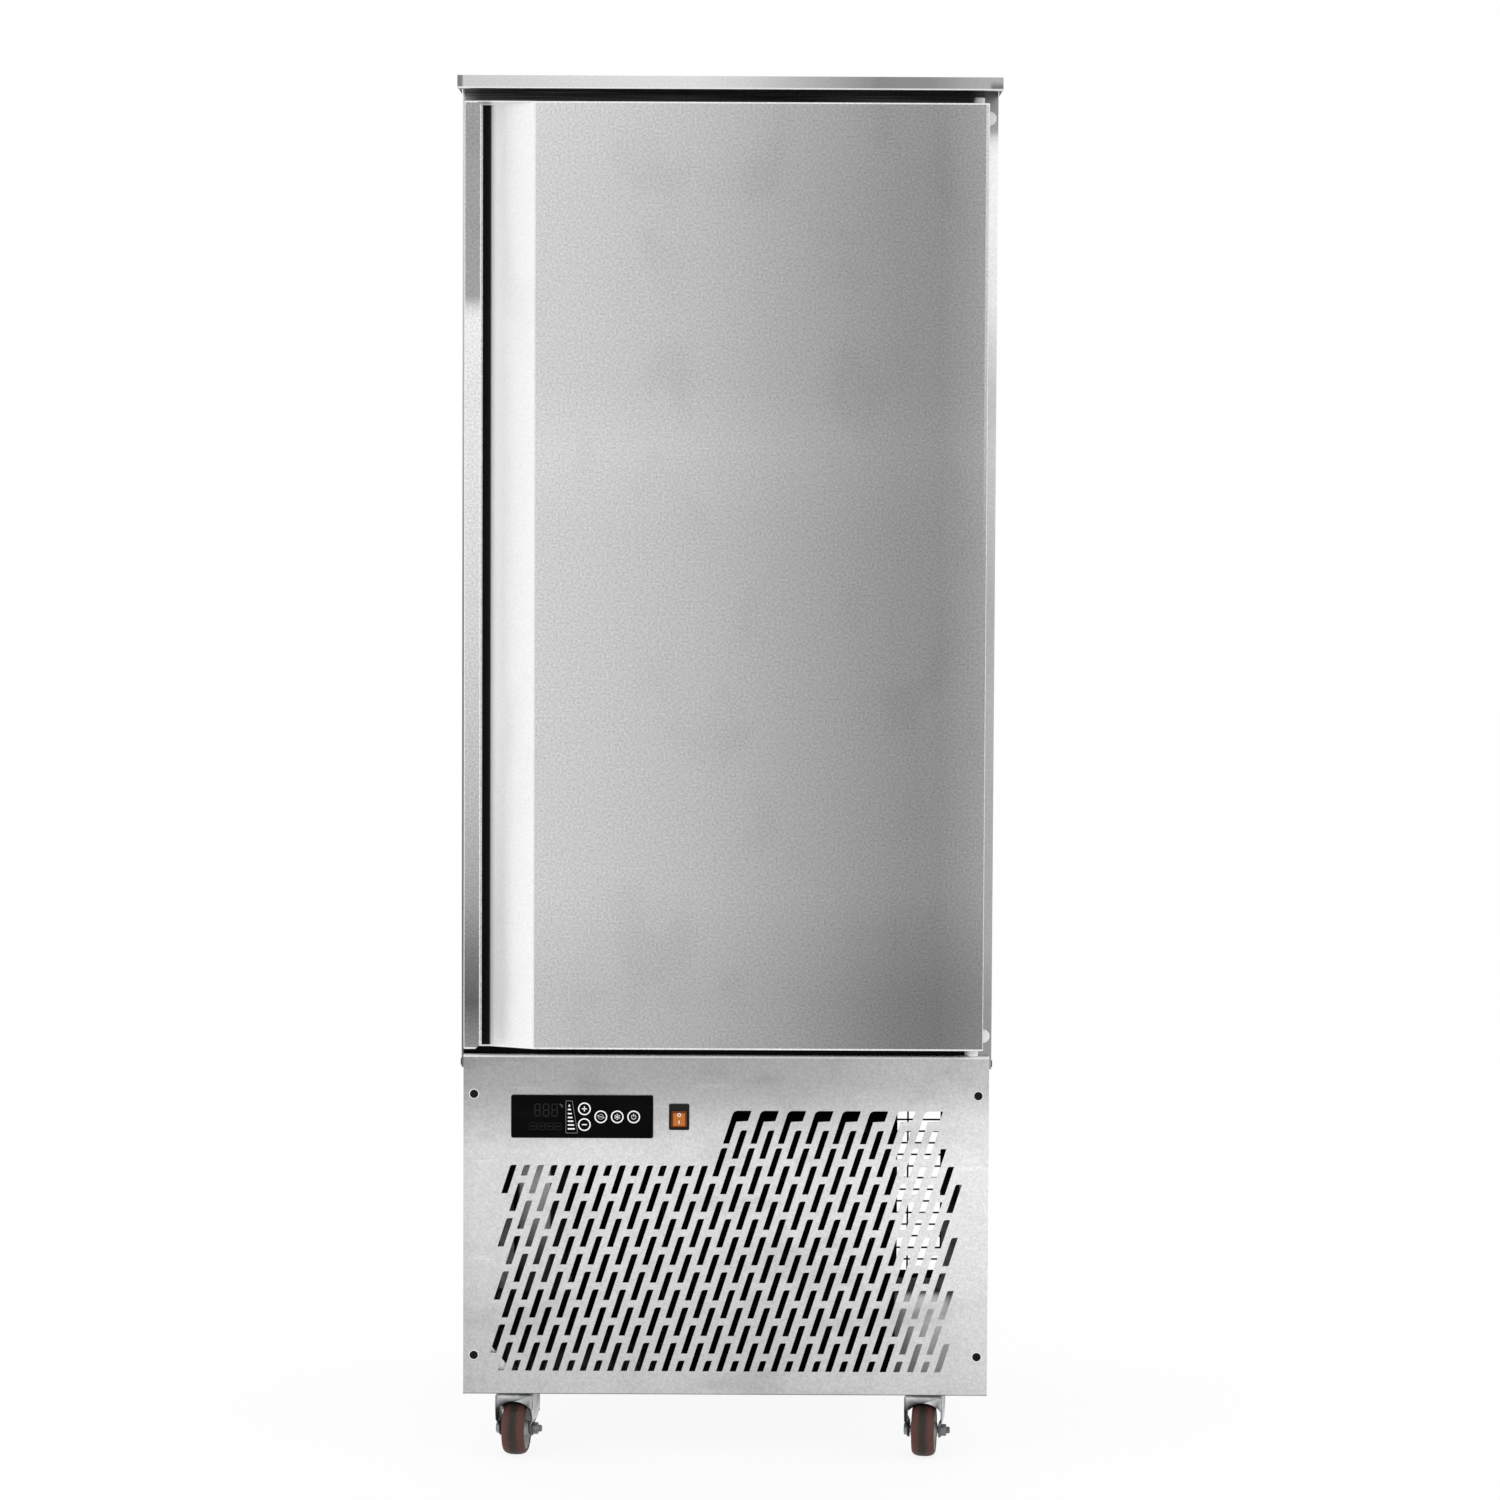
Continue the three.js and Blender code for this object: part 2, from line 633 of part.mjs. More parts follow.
// Bellows gasket: a narrow foot on the door and a wide bulb against the mouth frame
function doorGasket() {
  const footInset = GASKET_WIDTH * 0.15;
  const footY = [doorBack + FIT, doorBack + GASKET_DEPTH / 2];
  const bulbY = [doorBack + GASKET_DEPTH / 3, bodyFront - FIT];
  const loop = (inset, y) => prism(
    'y',
    rectangle(grow(gasketOuterX, -inset), grow(gasketOuterZ, -inset)),
    y,
    [rectangle(grow(gasketOuterX, inset - GASKET_WIDTH), grow(gasketOuterZ, inset - GASKET_WIDTH))],
  );
  return join(loop(footInset, footY), loop(0, bulbY));
}

// ---------------------------------------------------------------- lower front panel

const slotHalf = SLOT_HEIGHT / 2;
const slotFirstX = SLOT_FROM_LEFT - panelHalf;
const slotFirstZ = panelTop - SLOT_FROM_TOP;
const fieldTop = slotFirstZ + slotHalf;
const rowShift = SLOT_STEP_X / 2 - SLOT_LEAN * SLOT_STEP_Z;
const rowRoom = panelHalf - SLOT_MARGIN_RIGHT - slotFirstX;
const rowSlots = Math.floor(rowRoom / SLOT_STEP_X) + 1;
const fieldRoom = slotFirstZ - slotHalf - panelBottom - SLOT_MARGIN_BOTTOM;
const lastRow = Math.floor(fieldRoom / SLOT_STEP_Z) + 2;
const fieldBottom = slotFirstZ - (lastRow - 2) * SLOT_STEP_Z - slotHalf;
const raisedX = slotFirstX - rowShift + (SLOT_RAISED_FROM + 1) * SLOT_STEP_X;

// Outline of one slot about the middle of its full height, from bottom to top
function slot(x, z, bottom = z - slotHalf, top = z + slotHalf) {
  const left = (height) => x - SLOT_WIDTH / 2 + SLOT_LEAN * (height - z);
  return [
    [left(bottom), bottom],
    [left(bottom) + SLOT_WIDTH, bottom],
    [left(top) + SLOT_WIDTH, top],
    [left(top), top],
  ];
}

// A slot of the topmost row, whose head turns off to the right
function hookedSlot(x, z) {
  const top = z + HOOK_TOP;
  const foot = z - HOOK_STEM;
  const left = (height) => x - SLOT_WIDTH / 2 + SLOT_LEAN * (height - z);
  const throat = top - HOOK_HEAD_HEIGHT;
  const tip = left(top) + HOOK_HEAD_WIDTH;
  return [
    [left(foot), foot],
    [left(foot) + SLOT_WIDTH, foot],
    [left(throat) + SLOT_WIDTH, throat],
    [tip - SLOT_LEAN * HOOK_HEAD_HEIGHT, throat + HOOK_HEAD_RISE],
    [tip, top],
    ...arc([left(top) + HOOK_CORNER, top - HOOK_CORNER], HOOK_CORNER, 90, 160, 2),
  ];
}

// Rows count down from the row above the left field, and every third row starts a slot further
// out. The lowest two are cut off level. The raised right field has two more rows, the hooked one
// at its top.
function slotOutlines() {
  const outlines = [];
  for (let row = 0; row <= lastRow; row += 1) {
    const z = slotFirstZ - (row - 1) * SLOT_STEP_Z;
    const outward = Math.floor((row - 1) / 3);
    const first = slotFirstX + (row - 1) * rowShift - outward * SLOT_STEP_X;
    const count = rowSlots - (row % 3 === 0 ? 1 : 0);
    for (let i = 0; i < count; i += 1) {
      const x = first + i * SLOT_STEP_X;
      const raised = x > raisedX - SLOT_WIDTH;
      const top = row === 0 && !raised ? fieldTop : z + slotHalf;
      outlines.push(slot(x, z, Math.max(z - slotHalf, fieldBottom), top));
    }
  }
  const hooks = rowSlots - SLOT_RAISED_FROM - 2;
  const aboveX = raisedX + SLOT_STEP_X - rowShift;
  const aboveZ = slotFirstZ + 2 * SLOT_STEP_Z;
  for (let i = 0; i < hooks; i += 1) {
    const x = aboveX + i * SLOT_STEP_X;
    outlines.push(slot(x, aboveZ));
    outlines.push(hookedSlot(x - rowShift, aboveZ + SLOT_STEP_Z));
  }
  return outlines;
}

const controllerX = around(controllerMiddle, CONTROLLER_WIDTH / 2);
const controllerSpanZ = around(controllerZ, CONTROLLER_HEIGHT / 2);
const switchX = around(switchMiddle, SWITCH_WIDTH / 2);
const switchSpanZ = around(controllerZ, SWITCH_HEIGHT / 2);

function grillePanel() {
  const x = symmetric(panelHalf);
  const z = [panelBottom, panelTop];
  const screws = grow(x, -PANEL_SCREW_SIDE).flatMap((sx) => (
    grow(z, -PANEL_SCREW_END).map((sz) => circle([sx, sz], PANEL_SCREW_HOLE, 8))
  ));
  const openings = [
    ...slotOutlines(),
    ...screws,
    rectangle(grow(controllerX, -CONTROLLER_BEZEL), grow(controllerSpanZ, -CONTROLLER_BEZEL)),
    rectangle(grow(switchX, -SWITCH_BEZEL), grow(switchSpanZ, -SWITCH_BEZEL)),
  ];
  const back = panelFront + PANEL_DEPTH;
  const through = [panelFront - 1, panelFront + PANEL_SHEET + 1];
  return cut(
    box(x, [panelFront, back], z),
    box(grow(x, -PANEL_SHEET), [panelFront + PANEL_SHEET, back + 1], grow(z, -PANEL_SHEET)),
    openings.map((outline) => prism('y', outline, through)),
  );
}

// ---------------------------------------------------------------- controller and switch

const controllerFront = panelFront - CONTROLLER_PROUD;
const keyY = [controllerFront - KEY_PROUD, controllerFront - KEY_PROUD + KEY_THICKNESS];

// Middle of each key: a stacked pair, then three in line
const keyPlaces = (() => {
  const x = controllerMiddle + KEY_PAIR_X;
  const half = KEY_PAIR_SPACING / 2;
  return {
    key_up: [x, controllerZ + half],
    key_down: [x, controllerZ - half],
    key_cycle: [x + KEY_COLUMNS, controllerZ],
    key_freeze: [x + 2 * KEY_COLUMNS, controllerZ],
    key_power: [x + 3 * KEY_COLUMNS, controllerZ],
  };
})();

function controllerCase() {
  const bodyY = [controllerFront + 1, panelFront + CONTROLLER_BODY_DEPTH];
  const inset = CONTROLLER_BEZEL + FIT;
  const pocketY = [controllerFront - 1, keyY[1] + KEY_TRAVEL + FIT];
  return cut(
    join(
      box(controllerX, [controllerFront, panelFront - FIT], controllerSpanZ),
      box(grow(controllerX, -inset), bodyY, grow(controllerSpanZ, -inset)),
    ),
    Object.values(keyPlaces).map((place) => rod('y', place, KEY_RADIUS + 2 * FIT, pocketY, KEY_SIDES)),
  );
}

function key(place) {
  return rod('y', place, KEY_RADIUS, keyY, KEY_SIDES);
}

const switchFront = panelFront - SWITCH_PROUD;
const rockerZ = controllerZ - ROCKER_DROP;
const rockerY = switchFront + 4.6;

function switchCase() {
  const inset = SWITCH_BEZEL + FIT;
  const wellX = around(switchMiddle, ROCKER_WIDTH / 2 + 2 * FIT);
  const wellZ = around(rockerZ, ROCKER_RADIUS + 2 * FIT);
  const bodyY = [switchFront + 1, panelFront + SWITCH_BODY_DEPTH];
  return cut(
    join(
      box(switchX, [switchFront, panelFront - FIT], switchSpanZ),
      box(grow(switchX, -inset), bodyY, grow(switchSpanZ, -inset)),
    ),
    box(wellX, [switchFront - 1, rockerY + ROCKER_RADIUS + 1], wellZ),
  );
}

// Rocker with two shallow front faces, tilted so that its upper half is pressed in
function switchRocker() {
  const end = arc([0, 0], ROCKER_RADIUS, 68, 112, 3);
  const tilt = radians(ROCKER_TILT);
  const section = [
    ...end,
    [-ROCKER_RADIUS * 0.25, 0],
    ...end.map(([y, z]) => [y, -z]).reverse(),
  ].map(([y, z]) => [
    rockerY + y * Math.cos(tilt) + z * Math.sin(tilt),
    rockerZ + z * Math.cos(tilt) - y * Math.sin(tilt),
  ]);
  return prism('x', section, around(switchMiddle, ROCKER_WIDTH / 2));
}

// ---------------------------------------------------------------- base and covers

function baseFrame() {
  const x = symmetric(trayHalf);
  const y = [bodyFront, trayBack];
  const rimZ = [CASTER_HEIGHT, CASTER_HEIGHT + TRAY_RIM];
  const tray = cut(
    box(x, y, rimZ),
    box(grow(x, -TRAY_SHEET), grow(y, -TRAY_SHEET), [trayTop, rimZ[1] + 1]),
  );
  const postZ = [CASTER_HEIGHT, bodyBottom - FIT];
  const posts = [-1, 1].flatMap((sx) => [[y[0], 1], [y[1], -1]].map(([edge, inward]) => {
    const at = (across, along) => [sx * (trayHalf - across), edge + inward * along];
    const corner = [
      at(0, 0), at(POST_LEG, 0), at(POST_LEG, POST_SHEET),
      at(POST_SHEET, POST_SHEET), at(POST_SHEET, POST_LEG), at(0, POST_LEG),
    ];
    return prism('z', sx * inward > 0 ? corner.reverse() : corner, postZ);
  }));
  const gussets = [-1, 1].map((sx) => {
    const foot = CASTER_HEIGHT + TRAY_RIM / 2;
    const corner = [
      [sx * (trayHalf - 1), foot],
      [sx * (trayHalf - POST_LEG - GUSSET_WIDTH), foot],
      [sx * (trayHalf - 1), foot + GUSSET_HEIGHT],
    ];
    const plateY = [bodyFront, bodyFront + POST_SHEET];
    return prism('y', sx > 0 ? corner.reverse() : corner, plateY);
  });
  return join(tray, posts, gussets);
}

function sideCover(side) {
  const edge = side * panelHalf;
  const y = [bodyFront + FIT, trayBack];
  const underZ = [CASTER_HEIGHT - FIT - SKIN, CASTER_HEIGHT - FIT];
  return join(
    box(slice(edge, SKIN), y, [underZ[0], bodyBottom - FIT]),
    box(slice(edge, COVER_FOOT), y, underZ),
  );
}

// Rear sheet with rows of open slots between thin bars
function rearCover() {
  const right = trayHalf - VENT_FROM_SIDE;
  const left = right - VENT_WIDTH;
  const post = around(left + VENT_POST, VENT_BAR / 2);
  const start = CASTER_HEIGHT + VENT_LIFT;
  const rows = Math.floor((bodyBottom - VENT_MARGIN_TOP - start) / VENT_PITCH);
  const holes = [];
  for (let row = 0; row < rows; row += 1) {
    const bottom = start + row * VENT_PITCH;
    const z = [bottom, bottom + VENT_PITCH - VENT_BAR];
    const through = [backY - 2 * SKIN, backY + SKIN];
    holes.push(box([left, post[0]], through, z), box([post[1], right], through, z));
  }
  const sheetZ = [CASTER_HEIGHT, bodyBottom - FIT];
  return cut(box(symmetric(trayHalf), [backY - SKIN, backY], sheetZ), holes);
}

// ---------------------------------------------------------------- fans

// Concentric rings on a cross of spokes, filling a round opening in a sheet
function ringGuard([x, z], opening, y) {
  const spoke = GUARD_WIRE / 2;
  const step = (opening - FAN_HUB_RADIUS) / (GUARD_RINGS + 1);
  const rings = Array.from({ length: GUARD_RINGS }, (_, i) => {
    const radius = FAN_HUB_RADIUS + (i + 1) * step;
    return ring('y', [x, z], radius, radius - GUARD_WIRE, y, GUARD_SIDES);
  });
  return join(
    rod('y', [x, z], FAN_HUB_RADIUS, y, 8),
    box(around(x, opening + GUARD_LAP), y, around(z, spoke)),
    box(around(x, spoke), y, around(z, opening + GUARD_LAP)),
    rings,
  );
}

// Axial fan about the y axis, bored for its shaft
function axialFan([x, y, z], radius) {
  const hubY = symmetric(FAN_HUB_LENGTH / 2);
  const rootX = FAN_HUB_RADIUS - 4;
  const outline = [
    [rootX, -FAN_BLADE_ROOT / 2],
    ...arc([0, 0], radius, -FAN_BLADE_SWEEP, FAN_BLADE_SWEEP, 3),
    [rootX, FAN_BLADE_ROOT / 2],
  ];
  const sheetY = symmetric(FAN_BLADE_SHEET / 2);
  const blade = prism('y', outline, sheetY).rotate([FAN_BLADE_PITCH, 0, 0]);
  const blades = Array.from({ length: FAN_BLADES }, (_, i) => (
    blade.rotate([0, (360 * i) / FAN_BLADES, 0])
  ));
  const fan = cut(
    join(rod('y', [0, 0], FAN_HUB_RADIUS, hubY, 10), blades),
    rod('y', [0, 0], SHAFT_RADIUS + FIT, grow(hubY, 1), 8),
  );
  return fan.translate([x, y, z]);
}

// Motor whose shaft reaches into the fan, on a bar with legs that stand on the sheet at footY.
function fanMotor([x, y, z], fanRadius, footY) {
  const start = y + FAN_HUB_LENGTH / 2 + MOTOR_FROM_HUB;
  const legX = fanRadius + MOTOR_LEG_GAP;
  const barY = [start + MOTOR_LENGTH / 2, start + MOTOR_LENGTH / 2 + MOTOR_BAR_SHEET];
  const barZ = around(z, MOTOR_BAR / 2);
  const legs = [-1, 1].flatMap((side) => {
    const edge = x + side * legX;
    return [
      box(span(edge, edge + side * MOTOR_BAR_SHEET), [footY, barY[1]], barZ),
      box(span(edge, edge + side * MOTOR_BAR), [footY, footY + MOTOR_BAR_SHEET], barZ),
    ];
  });
  return join(
    rod('y', [x, z], MOTOR_RADIUS, [start, start + MOTOR_LENGTH], 20),
    rod('y', [x, z], SHAFT_RADIUS, [y - FAN_HUB_LENGTH / 2, start + 1], 8),
    box(around(x, legX + 1), barY, barZ),
    legs,
  );
}

// ---------------------------------------------------------------- chamber fittings

function rack(side) {
  const wall = chamberHalf - FIT;
  const y = [bodyFront + RACK_START, coverFront - RACK_END_GAP];
  const levels = Math.floor((chamberHeight - RACK_FIRST - RACK_MARGIN_TOP) / RACK_PITCH) + 1;
  const top = chamberBottom + RACK_FIRST + (levels - 1) * RACK_PITCH + RUNNER_RISE;
  const postX = slice(side * wall, RACK_POST_DEPTH);
  const postZ = [chamberBottom + FIT, top + RACK_FIRST / 2];
  const posts = grow(y, -RACK_POST_INSET).map((edge) => (
    box(postX, slice(edge, RACK_POST_WIDTH, (y[0] + y[1]) / 2), postZ)
  ));
  const runners = Array.from({ length: levels }, (_, level) => {
    const z = chamberBottom + RACK_FIRST + level * RACK_PITCH;
    const back = wall - RACK_POST_DEPTH + 1;
    const section = [
      [side * back, z],
      [side * (back + 1 - RUNNER_LEDGE), z],
      [side * (back + 1 - RUNNER_LEDGE), z + RUNNER_SHEET],
      [side * (back - RUNNER_SHEET), z + RUNNER_SHEET],
      [side * (back - RUNNER_SHEET), z + RUNNER_RISE],
      [side * back, z + RUNNER_RISE],
    ];
    return prism('y', side > 0 ? section.reverse() : section, y);
  });
  return join(posts, runners);
}

const coverX = symmetric(chamberHalf - COVER_SIDE_GAP);
const coverZ = grow(chamberZ, -COVER_END_GAP);
const evaporatorFans = {
  upper: [0, coverFront + FAN_TO_COVER, chamberTop - chamberHeight / 4],
  lower: [0, coverFront + FAN_TO_COVER, chamberBottom + chamberHeight / 4],
};

function fanCover() {
  const opening = EVAPORATOR_FAN_RADIUS + FAN_GAP;
  const centres = Object.values(evaporatorFans).map(([x, , z]) => [x, z]);
  const holes = centres.map((centre) => circle(centre, opening, GUARD_SIDES));
  const guardY = [coverFront, coverFront + GUARD_THICKNESS];
  return join(
    prism('y', rectangle(coverX, coverZ), [coverFront, coverBack], holes),
    prism('y', rectangle(coverX, coverZ), [coverFront, coverFront + COVER_RIM], [
      rectangle(grow(coverX, -COVER_SHEET), grow(coverZ, -COVER_SHEET)),
    ]),
    centres.map((centre) => ringGuard(centre, opening, guardY)),
  );
}

// Finned block between two end plates that reach from the rear wall to the fan cover
function evaporatorCoil() {
  const back = chamberBack - FIT;
  const coilY = [back - EVAPORATOR_DEPTH, back];
  const plateX = grow(coverX, -EVAPORATOR_PLATE_INSET);
  const plateZ = grow(chamberZ, -EVAPORATOR_END_GAP);
  const plates = plateX.map((edge) => (
    box(slice(edge, EVAPORATOR_PLATE_SHEET), [coverBack + FIT, back], plateZ)
  ));
  return join(box(grow(plateX, -1), coilY, grow(plateZ, -EVAPORATOR_CORE_INSET)), plates);
}

// ---------------------------------------------------------------- condensing unit

const condenserX = around(CONDENSER_X, CONDENSER_WIDTH / 2);
const condenserZ = [trayTop + FIT, trayTop + FIT + CONDENSER_HEIGHT];
const condenserY = [bodyFront + CONDENSER_FRONT, bodyFront + CONDENSER_FRONT + CONDENSER_DEPTH];
const condenserMiddleZ = (condenserZ[0] + condenserZ[1]) / 2;
const shroudY = [condenserY[1] + FIT, condenserY[1] + FIT + SHROUD_DEPTH];
const condenserFan = [CONDENSER_X, shroudY[1] - FAN_TO_COVER, condenserMiddleZ];

function condenserCoil() {
  const plates = condenserX.map((edge) => (
    box(slice(edge, TRAY_SHEET, CONDENSER_X), condenserY, condenserZ)
  ));
  const inset = -CONDENSER_CORE_INSET;
  return join(box(grow(condenserX, -1), grow(condenserY, inset), grow(condenserZ, inset)), plates);
}

// Sheet box behind the coil with a guarded round opening for the fan
function condenserShroud() {
  const opening = CONDENSER_FAN_RADIUS + FAN_GAP;
  const centre = [CONDENSER_X, condenserMiddleZ];
  const face = [shroudY[1] - COVER_SHEET, shroudY[1]];
  return join(
    prism('y', rectangle(condenserX, condenserZ), face, [circle(centre, opening, GUARD_SIDES)]),
    prism('y', rectangle(condenserX, condenserZ), shroudY, [
      rectangle(grow(condenserX, -COVER_SHEET), grow(condenserZ, -COVER_SHEET)),
    ]),
    ringGuard(centre, opening, [face[0], face[0] + GUARD_THICKNESS]),
  );
}

// The condenser fan's motor hangs inside the shroud, between the coil and the fan.
function condenserMotor() {
  const [x, y, z] = condenserFan;
  const motorY = [shroudY[0] + CONDENSER_MOTOR_GAP, y - FAN_HUB_LENGTH / 2 - MOTOR_FROM_HUB];
  const barY = around((motorY[0] + motorY[1]) / 2, MOTOR_BAR_SHEET / 2);
  return join(
    rod('y', [x, z], FAN_HUB_RADIUS, motorY, 20),
    rod('y', [x, z], SHAFT_RADIUS, [motorY[1] - 1, y + FAN_HUB_LENGTH / 2], 8),
    box(grow(condenserX, -COVER_SHEET - FIT), barY, around(z, MOTOR_BAR / 2)),
  );
}

// Welded steel pot on a foot plate, with the stub that the suction line fits
function compressor() {
  const base = trayTop + FIT;
  const r = COMPRESSOR_RADIUS;
  const h = COMPRESSOR_HEIGHT;
  const shell = COMPRESSOR_SHELL.map(([across, up]) => [r * across, base + h * up]);
  const foot = r * 1.05;
  return join(
    turned(shell, 12),
    box(symmetric(foot), symmetric(foot * 0.8), [base, base + COMPRESSOR_FOOT_SHEET]),
    rod('z', [0, 0], r * 0.5, [base + 1, base + h * 0.1], 8),
    rod('z', [r * 0.5, 0], LINE_RADIUS + 3, [base + h * 0.8, base + h + LINE_SOCKET], 10),
  ).translate([COMPRESSOR_X, compressorY, 0]);
}

// Copper line from the compressor's stub up to the cabinet's underside
function suctionLine() {
  const x = COMPRESSOR_X + COMPRESSOR_RADIUS * 0.5;
  const start = trayTop + FIT + COMPRESSOR_HEIGHT + LINE_SOCKET + FIT;
  const end = bodyBottom - FIT;
  const rise = end - start;
  const path = new THREE.CatmullRomCurve3([
    new THREE.Vector3(x, compressorY, start),
    new THREE.Vector3(x, compressorY, start + rise * 0.25),
    new THREE.Vector3(x, compressorY + LINE_OFFSET / 2, start + rise * 0.5),
    new THREE.Vector3(x, compressorY + LINE_OFFSET, start + rise * 0.75),
    new THREE.Vector3(x, compressorY + LINE_OFFSET, end),
  ]);
  const section = new THREE.Shape(
    circle([0, 0], LINE_RADIUS, 8).map(([a, b]) => new THREE.Vector2(a, b)),
  );
  const geometry = new THREE.ExtrudeGeometry(section, { steps: 9, extrudePath: path });
  return solidOf(geometry);
}

// Horizontal pressure vessel on two saddles
function liquidReceiver() {
  const r = RECEIVER_RADIUS;
  const half = RECEIVER_LENGTH / 2;
  const z = trayTop + FIT + RECEIVER_LIFT + r;
  const head = half - RECEIVER_HEAD;
  const rise = half - RECEIVER_HEAD / 4;
  const vessel = turned([
    [0, -half], [r * 0.6, -rise], [r, -head], [r, head], [r * 0.6, rise], [0, half],
  ], 12).rotate([0, 90, 0]).translate([RECEIVER_X, receiverY, z]);
  const saddleZ = [trayTop + FIT, z - r * 0.5];
  const saddles = around(RECEIVER_X, half * 0.6).map((at) => (
    box(around(at, RECEIVER_SADDLE / 2), around(receiverY, r * 0.8), saddleZ)
  ));
  return join(vessel, saddles);
}

// Sheet box for relays and terminals on two legs
function electricsBox() {
  const x = around(ELECTRICS_X, ELECTRICS_WIDTH / 2);
  const y = [bodyFront + CONDENSER_FRONT, bodyFront + CONDENSER_FRONT + ELECTRICS_DEPTH];
  const z = [trayTop + ELECTRICS_LIFT, trayTop + ELECTRICS_LIFT + ELECTRICS_HEIGHT];
  const legZ = [trayTop + FIT, z[0] + 1];
  const legs = x.map((edge) => (
    box(slice(edge, TRAY_SHEET, ELECTRICS_X), [y[1] - ELECTRICS_LEG, y[1]], legZ)
  ));
  return join(box(x, y, z), legs);
}

// ---------------------------------------------------------------- casters

const axleZ = WHEEL_RADIUS * Math.cos(Math.PI / WHEEL_SIDES);
const forkTop = CASTER_HEIGHT - CASTER_PLATE_SHEET - RACEWAY_DEPTH;

function casterPlate() {
  const half = CASTER_PLATE / 2;
  const plateZ = [CASTER_HEIGHT - CASTER_PLATE_SHEET - FIT, CASTER_HEIGHT - FIT];
  const holeAt = symmetric(half - CASTER_HOLE_INSET);
  const holes = holeAt.flatMap((x) => holeAt.map((y) => circle([x, y], CASTER_HOLE, 6)));
  return join(
    prism('z', rectangle(symmetric(half), symmetric(half)), plateZ, holes),
    rod('z', [0, 0], RACEWAY_RADIUS, [forkTop + FIT, plateZ[0] + 1], 14),
  );
}

// Pressed fork: an arched section cut to its side view, with an arched front over the wheel and
// holes for the axle
function casterFork() {
  const top = forkTop - FIT;
  const half = FORK_WIDTH / 2;
  const foot = FORK_FOOT_WIDTH / 2;
  const knee = axleZ + FORK_KNEE;
  const legs = [axleZ - FORK_EYE - 1, axleZ + AXLE_NUT + FIT];
  const t = FORK_SHEET;
  const crown = FORK_CROWN;
  const outer = [
    [foot, legs[0]], [foot, legs[1]], [half, knee],
    ...arc([half - crown, top - crown], crown, 0, 90, 2),
  ];
  const inner = [
    [foot - t, legs[0]], [foot - t, legs[1] + t / 5], [half - t, knee + t / 5],
    ...arc([half - t - crown * 2, top - t - crown * 2], crown * 2, 0, 90, 3),
  ];
  const mirror = (points) => points.map(([x, z]) => [-x, z]).reverse();
  const section = [...outer, ...mirror(outer), ...mirror(inner).reverse(), ...inner.reverse()];
  const wheelY = -CASTER_TRAIL;
  const frontEnd = -FORK_LENGTH / 2;
  const backEnd = FORK_LENGTH * 0.4;
  const pressedY = [Math.min(frontEnd, wheelY - FORK_EYE) - 1, backEnd];
  const side = [
    [backEnd, top + 1],
    [frontEnd, top + 1],
    [frontEnd, top - FORK_SKIRT],
    ...arc([wheelY, axleZ], FORK_EYE, 190, 330, 4),
    [backEnd, top - FORK_SKIRT * 1.4],
  ];
  const archHalf = half - t;
  const archRadius = (archHalf ** 2 + FORK_ARCH ** 2) / (2 * FORK_ARCH);
  const reach = THREE.MathUtils.radToDeg(Math.asin(archHalf / archRadius));
  const front = [
    [-half + crown, top], [-half, top - crown], [-half, top - FORK_SKIRT - FORK_ARCH],
    ...arc([0, top - FORK_SKIRT - archRadius], archRadius, 90 + reach, 90 - reach, 8),
    [half, top - FORK_SKIRT - FORK_ARCH], [half, top - crown], [half - crown, top],
  ];
  const across = symmetric(half + 1);
  return cut(
    join(
      prism('y', section, pressedY).intersect(prism('x', side, across)),
      prism('y', front, [frontEnd, frontEnd + t]),
    ),
    rod('x', [wheelY, axleZ], AXLE_RADIUS + FIT, across, 8),
  );
}

// Turned about the wheel's own axis, then laid along x
function wheelPart(profile) {
  return turned(profile, WHEEL_SIDES).rotate([0, 90, 0]).translate([0, -CASTER_TRAIL, axleZ]);
}

function casterTyre() {
  const half = TYRE_WIDTH / 2;
  const seat = WHEEL_RADIUS - TYRE_THICKNESS;
  const shoulder = WHEEL_RADIUS - TYRE_SHOULDER;
  const crown = TYRE_CROWN / 2;
  return wheelPart([
    [seat, -half], [shoulder, -half], [WHEEL_RADIUS, -crown],
    [WHEEL_RADIUS, crown], [shoulder, half], [seat, half], [seat, -half],
  ]);
}

function casterHub() {
  const rim = WHEEL_RADIUS - TYRE_THICKNESS - FIT;
  const half = TYRE_WIDTH / 2 - 1;
  const web = half - HUB_DISH;
  const boss = HUB_WIDTH / 2;
  return wheelPart([
    [HUB_BORE, -boss], [HUB_BOSS, -boss], [rim * 0.6, -web], [rim, -half],
    [rim, half], [rim * 0.6, web], [HUB_BOSS, boss], [HUB_BORE, boss], [HUB_BORE, -boss],
  ]);
}

// Bolt through fork and hub, with its head on one side and a nut on the other
function casterAxle() {
  const outside = FORK_FOOT_WIDTH / 2 + FIT;
  const place = [-CASTER_TRAIL, axleZ];
  const nutEnd = outside + AXLE_NUT_LENGTH;
  return join(
    rod('x', place, AXLE_RADIUS, [-outside - 1, nutEnd + AXLE_TIP], 8),
    rod('x', place, AXLE_NUT, [-outside - AXLE_HEAD, -outside], 6),
    rod('x', place, AXLE_NUT, [outside, nutEnd], 6),
  );
}

const casterLeftX = CASTER_FROM_LEFT - caseHalf;
const casterRightX = caseHalf - CASTER_FROM_RIGHT;
const casterFrontY = bodyFront + CASTER_FROM_FRONT;
const casterRearY = backY - CASTER_FROM_BACK;
const casterPlaces = {
  front_left: [casterLeftX, casterFrontY],
  front_right: [casterRightX, casterFrontY],
  rear_left: [casterLeftX, casterRearY],
  rear_right: [casterRightX, casterRearY],
};

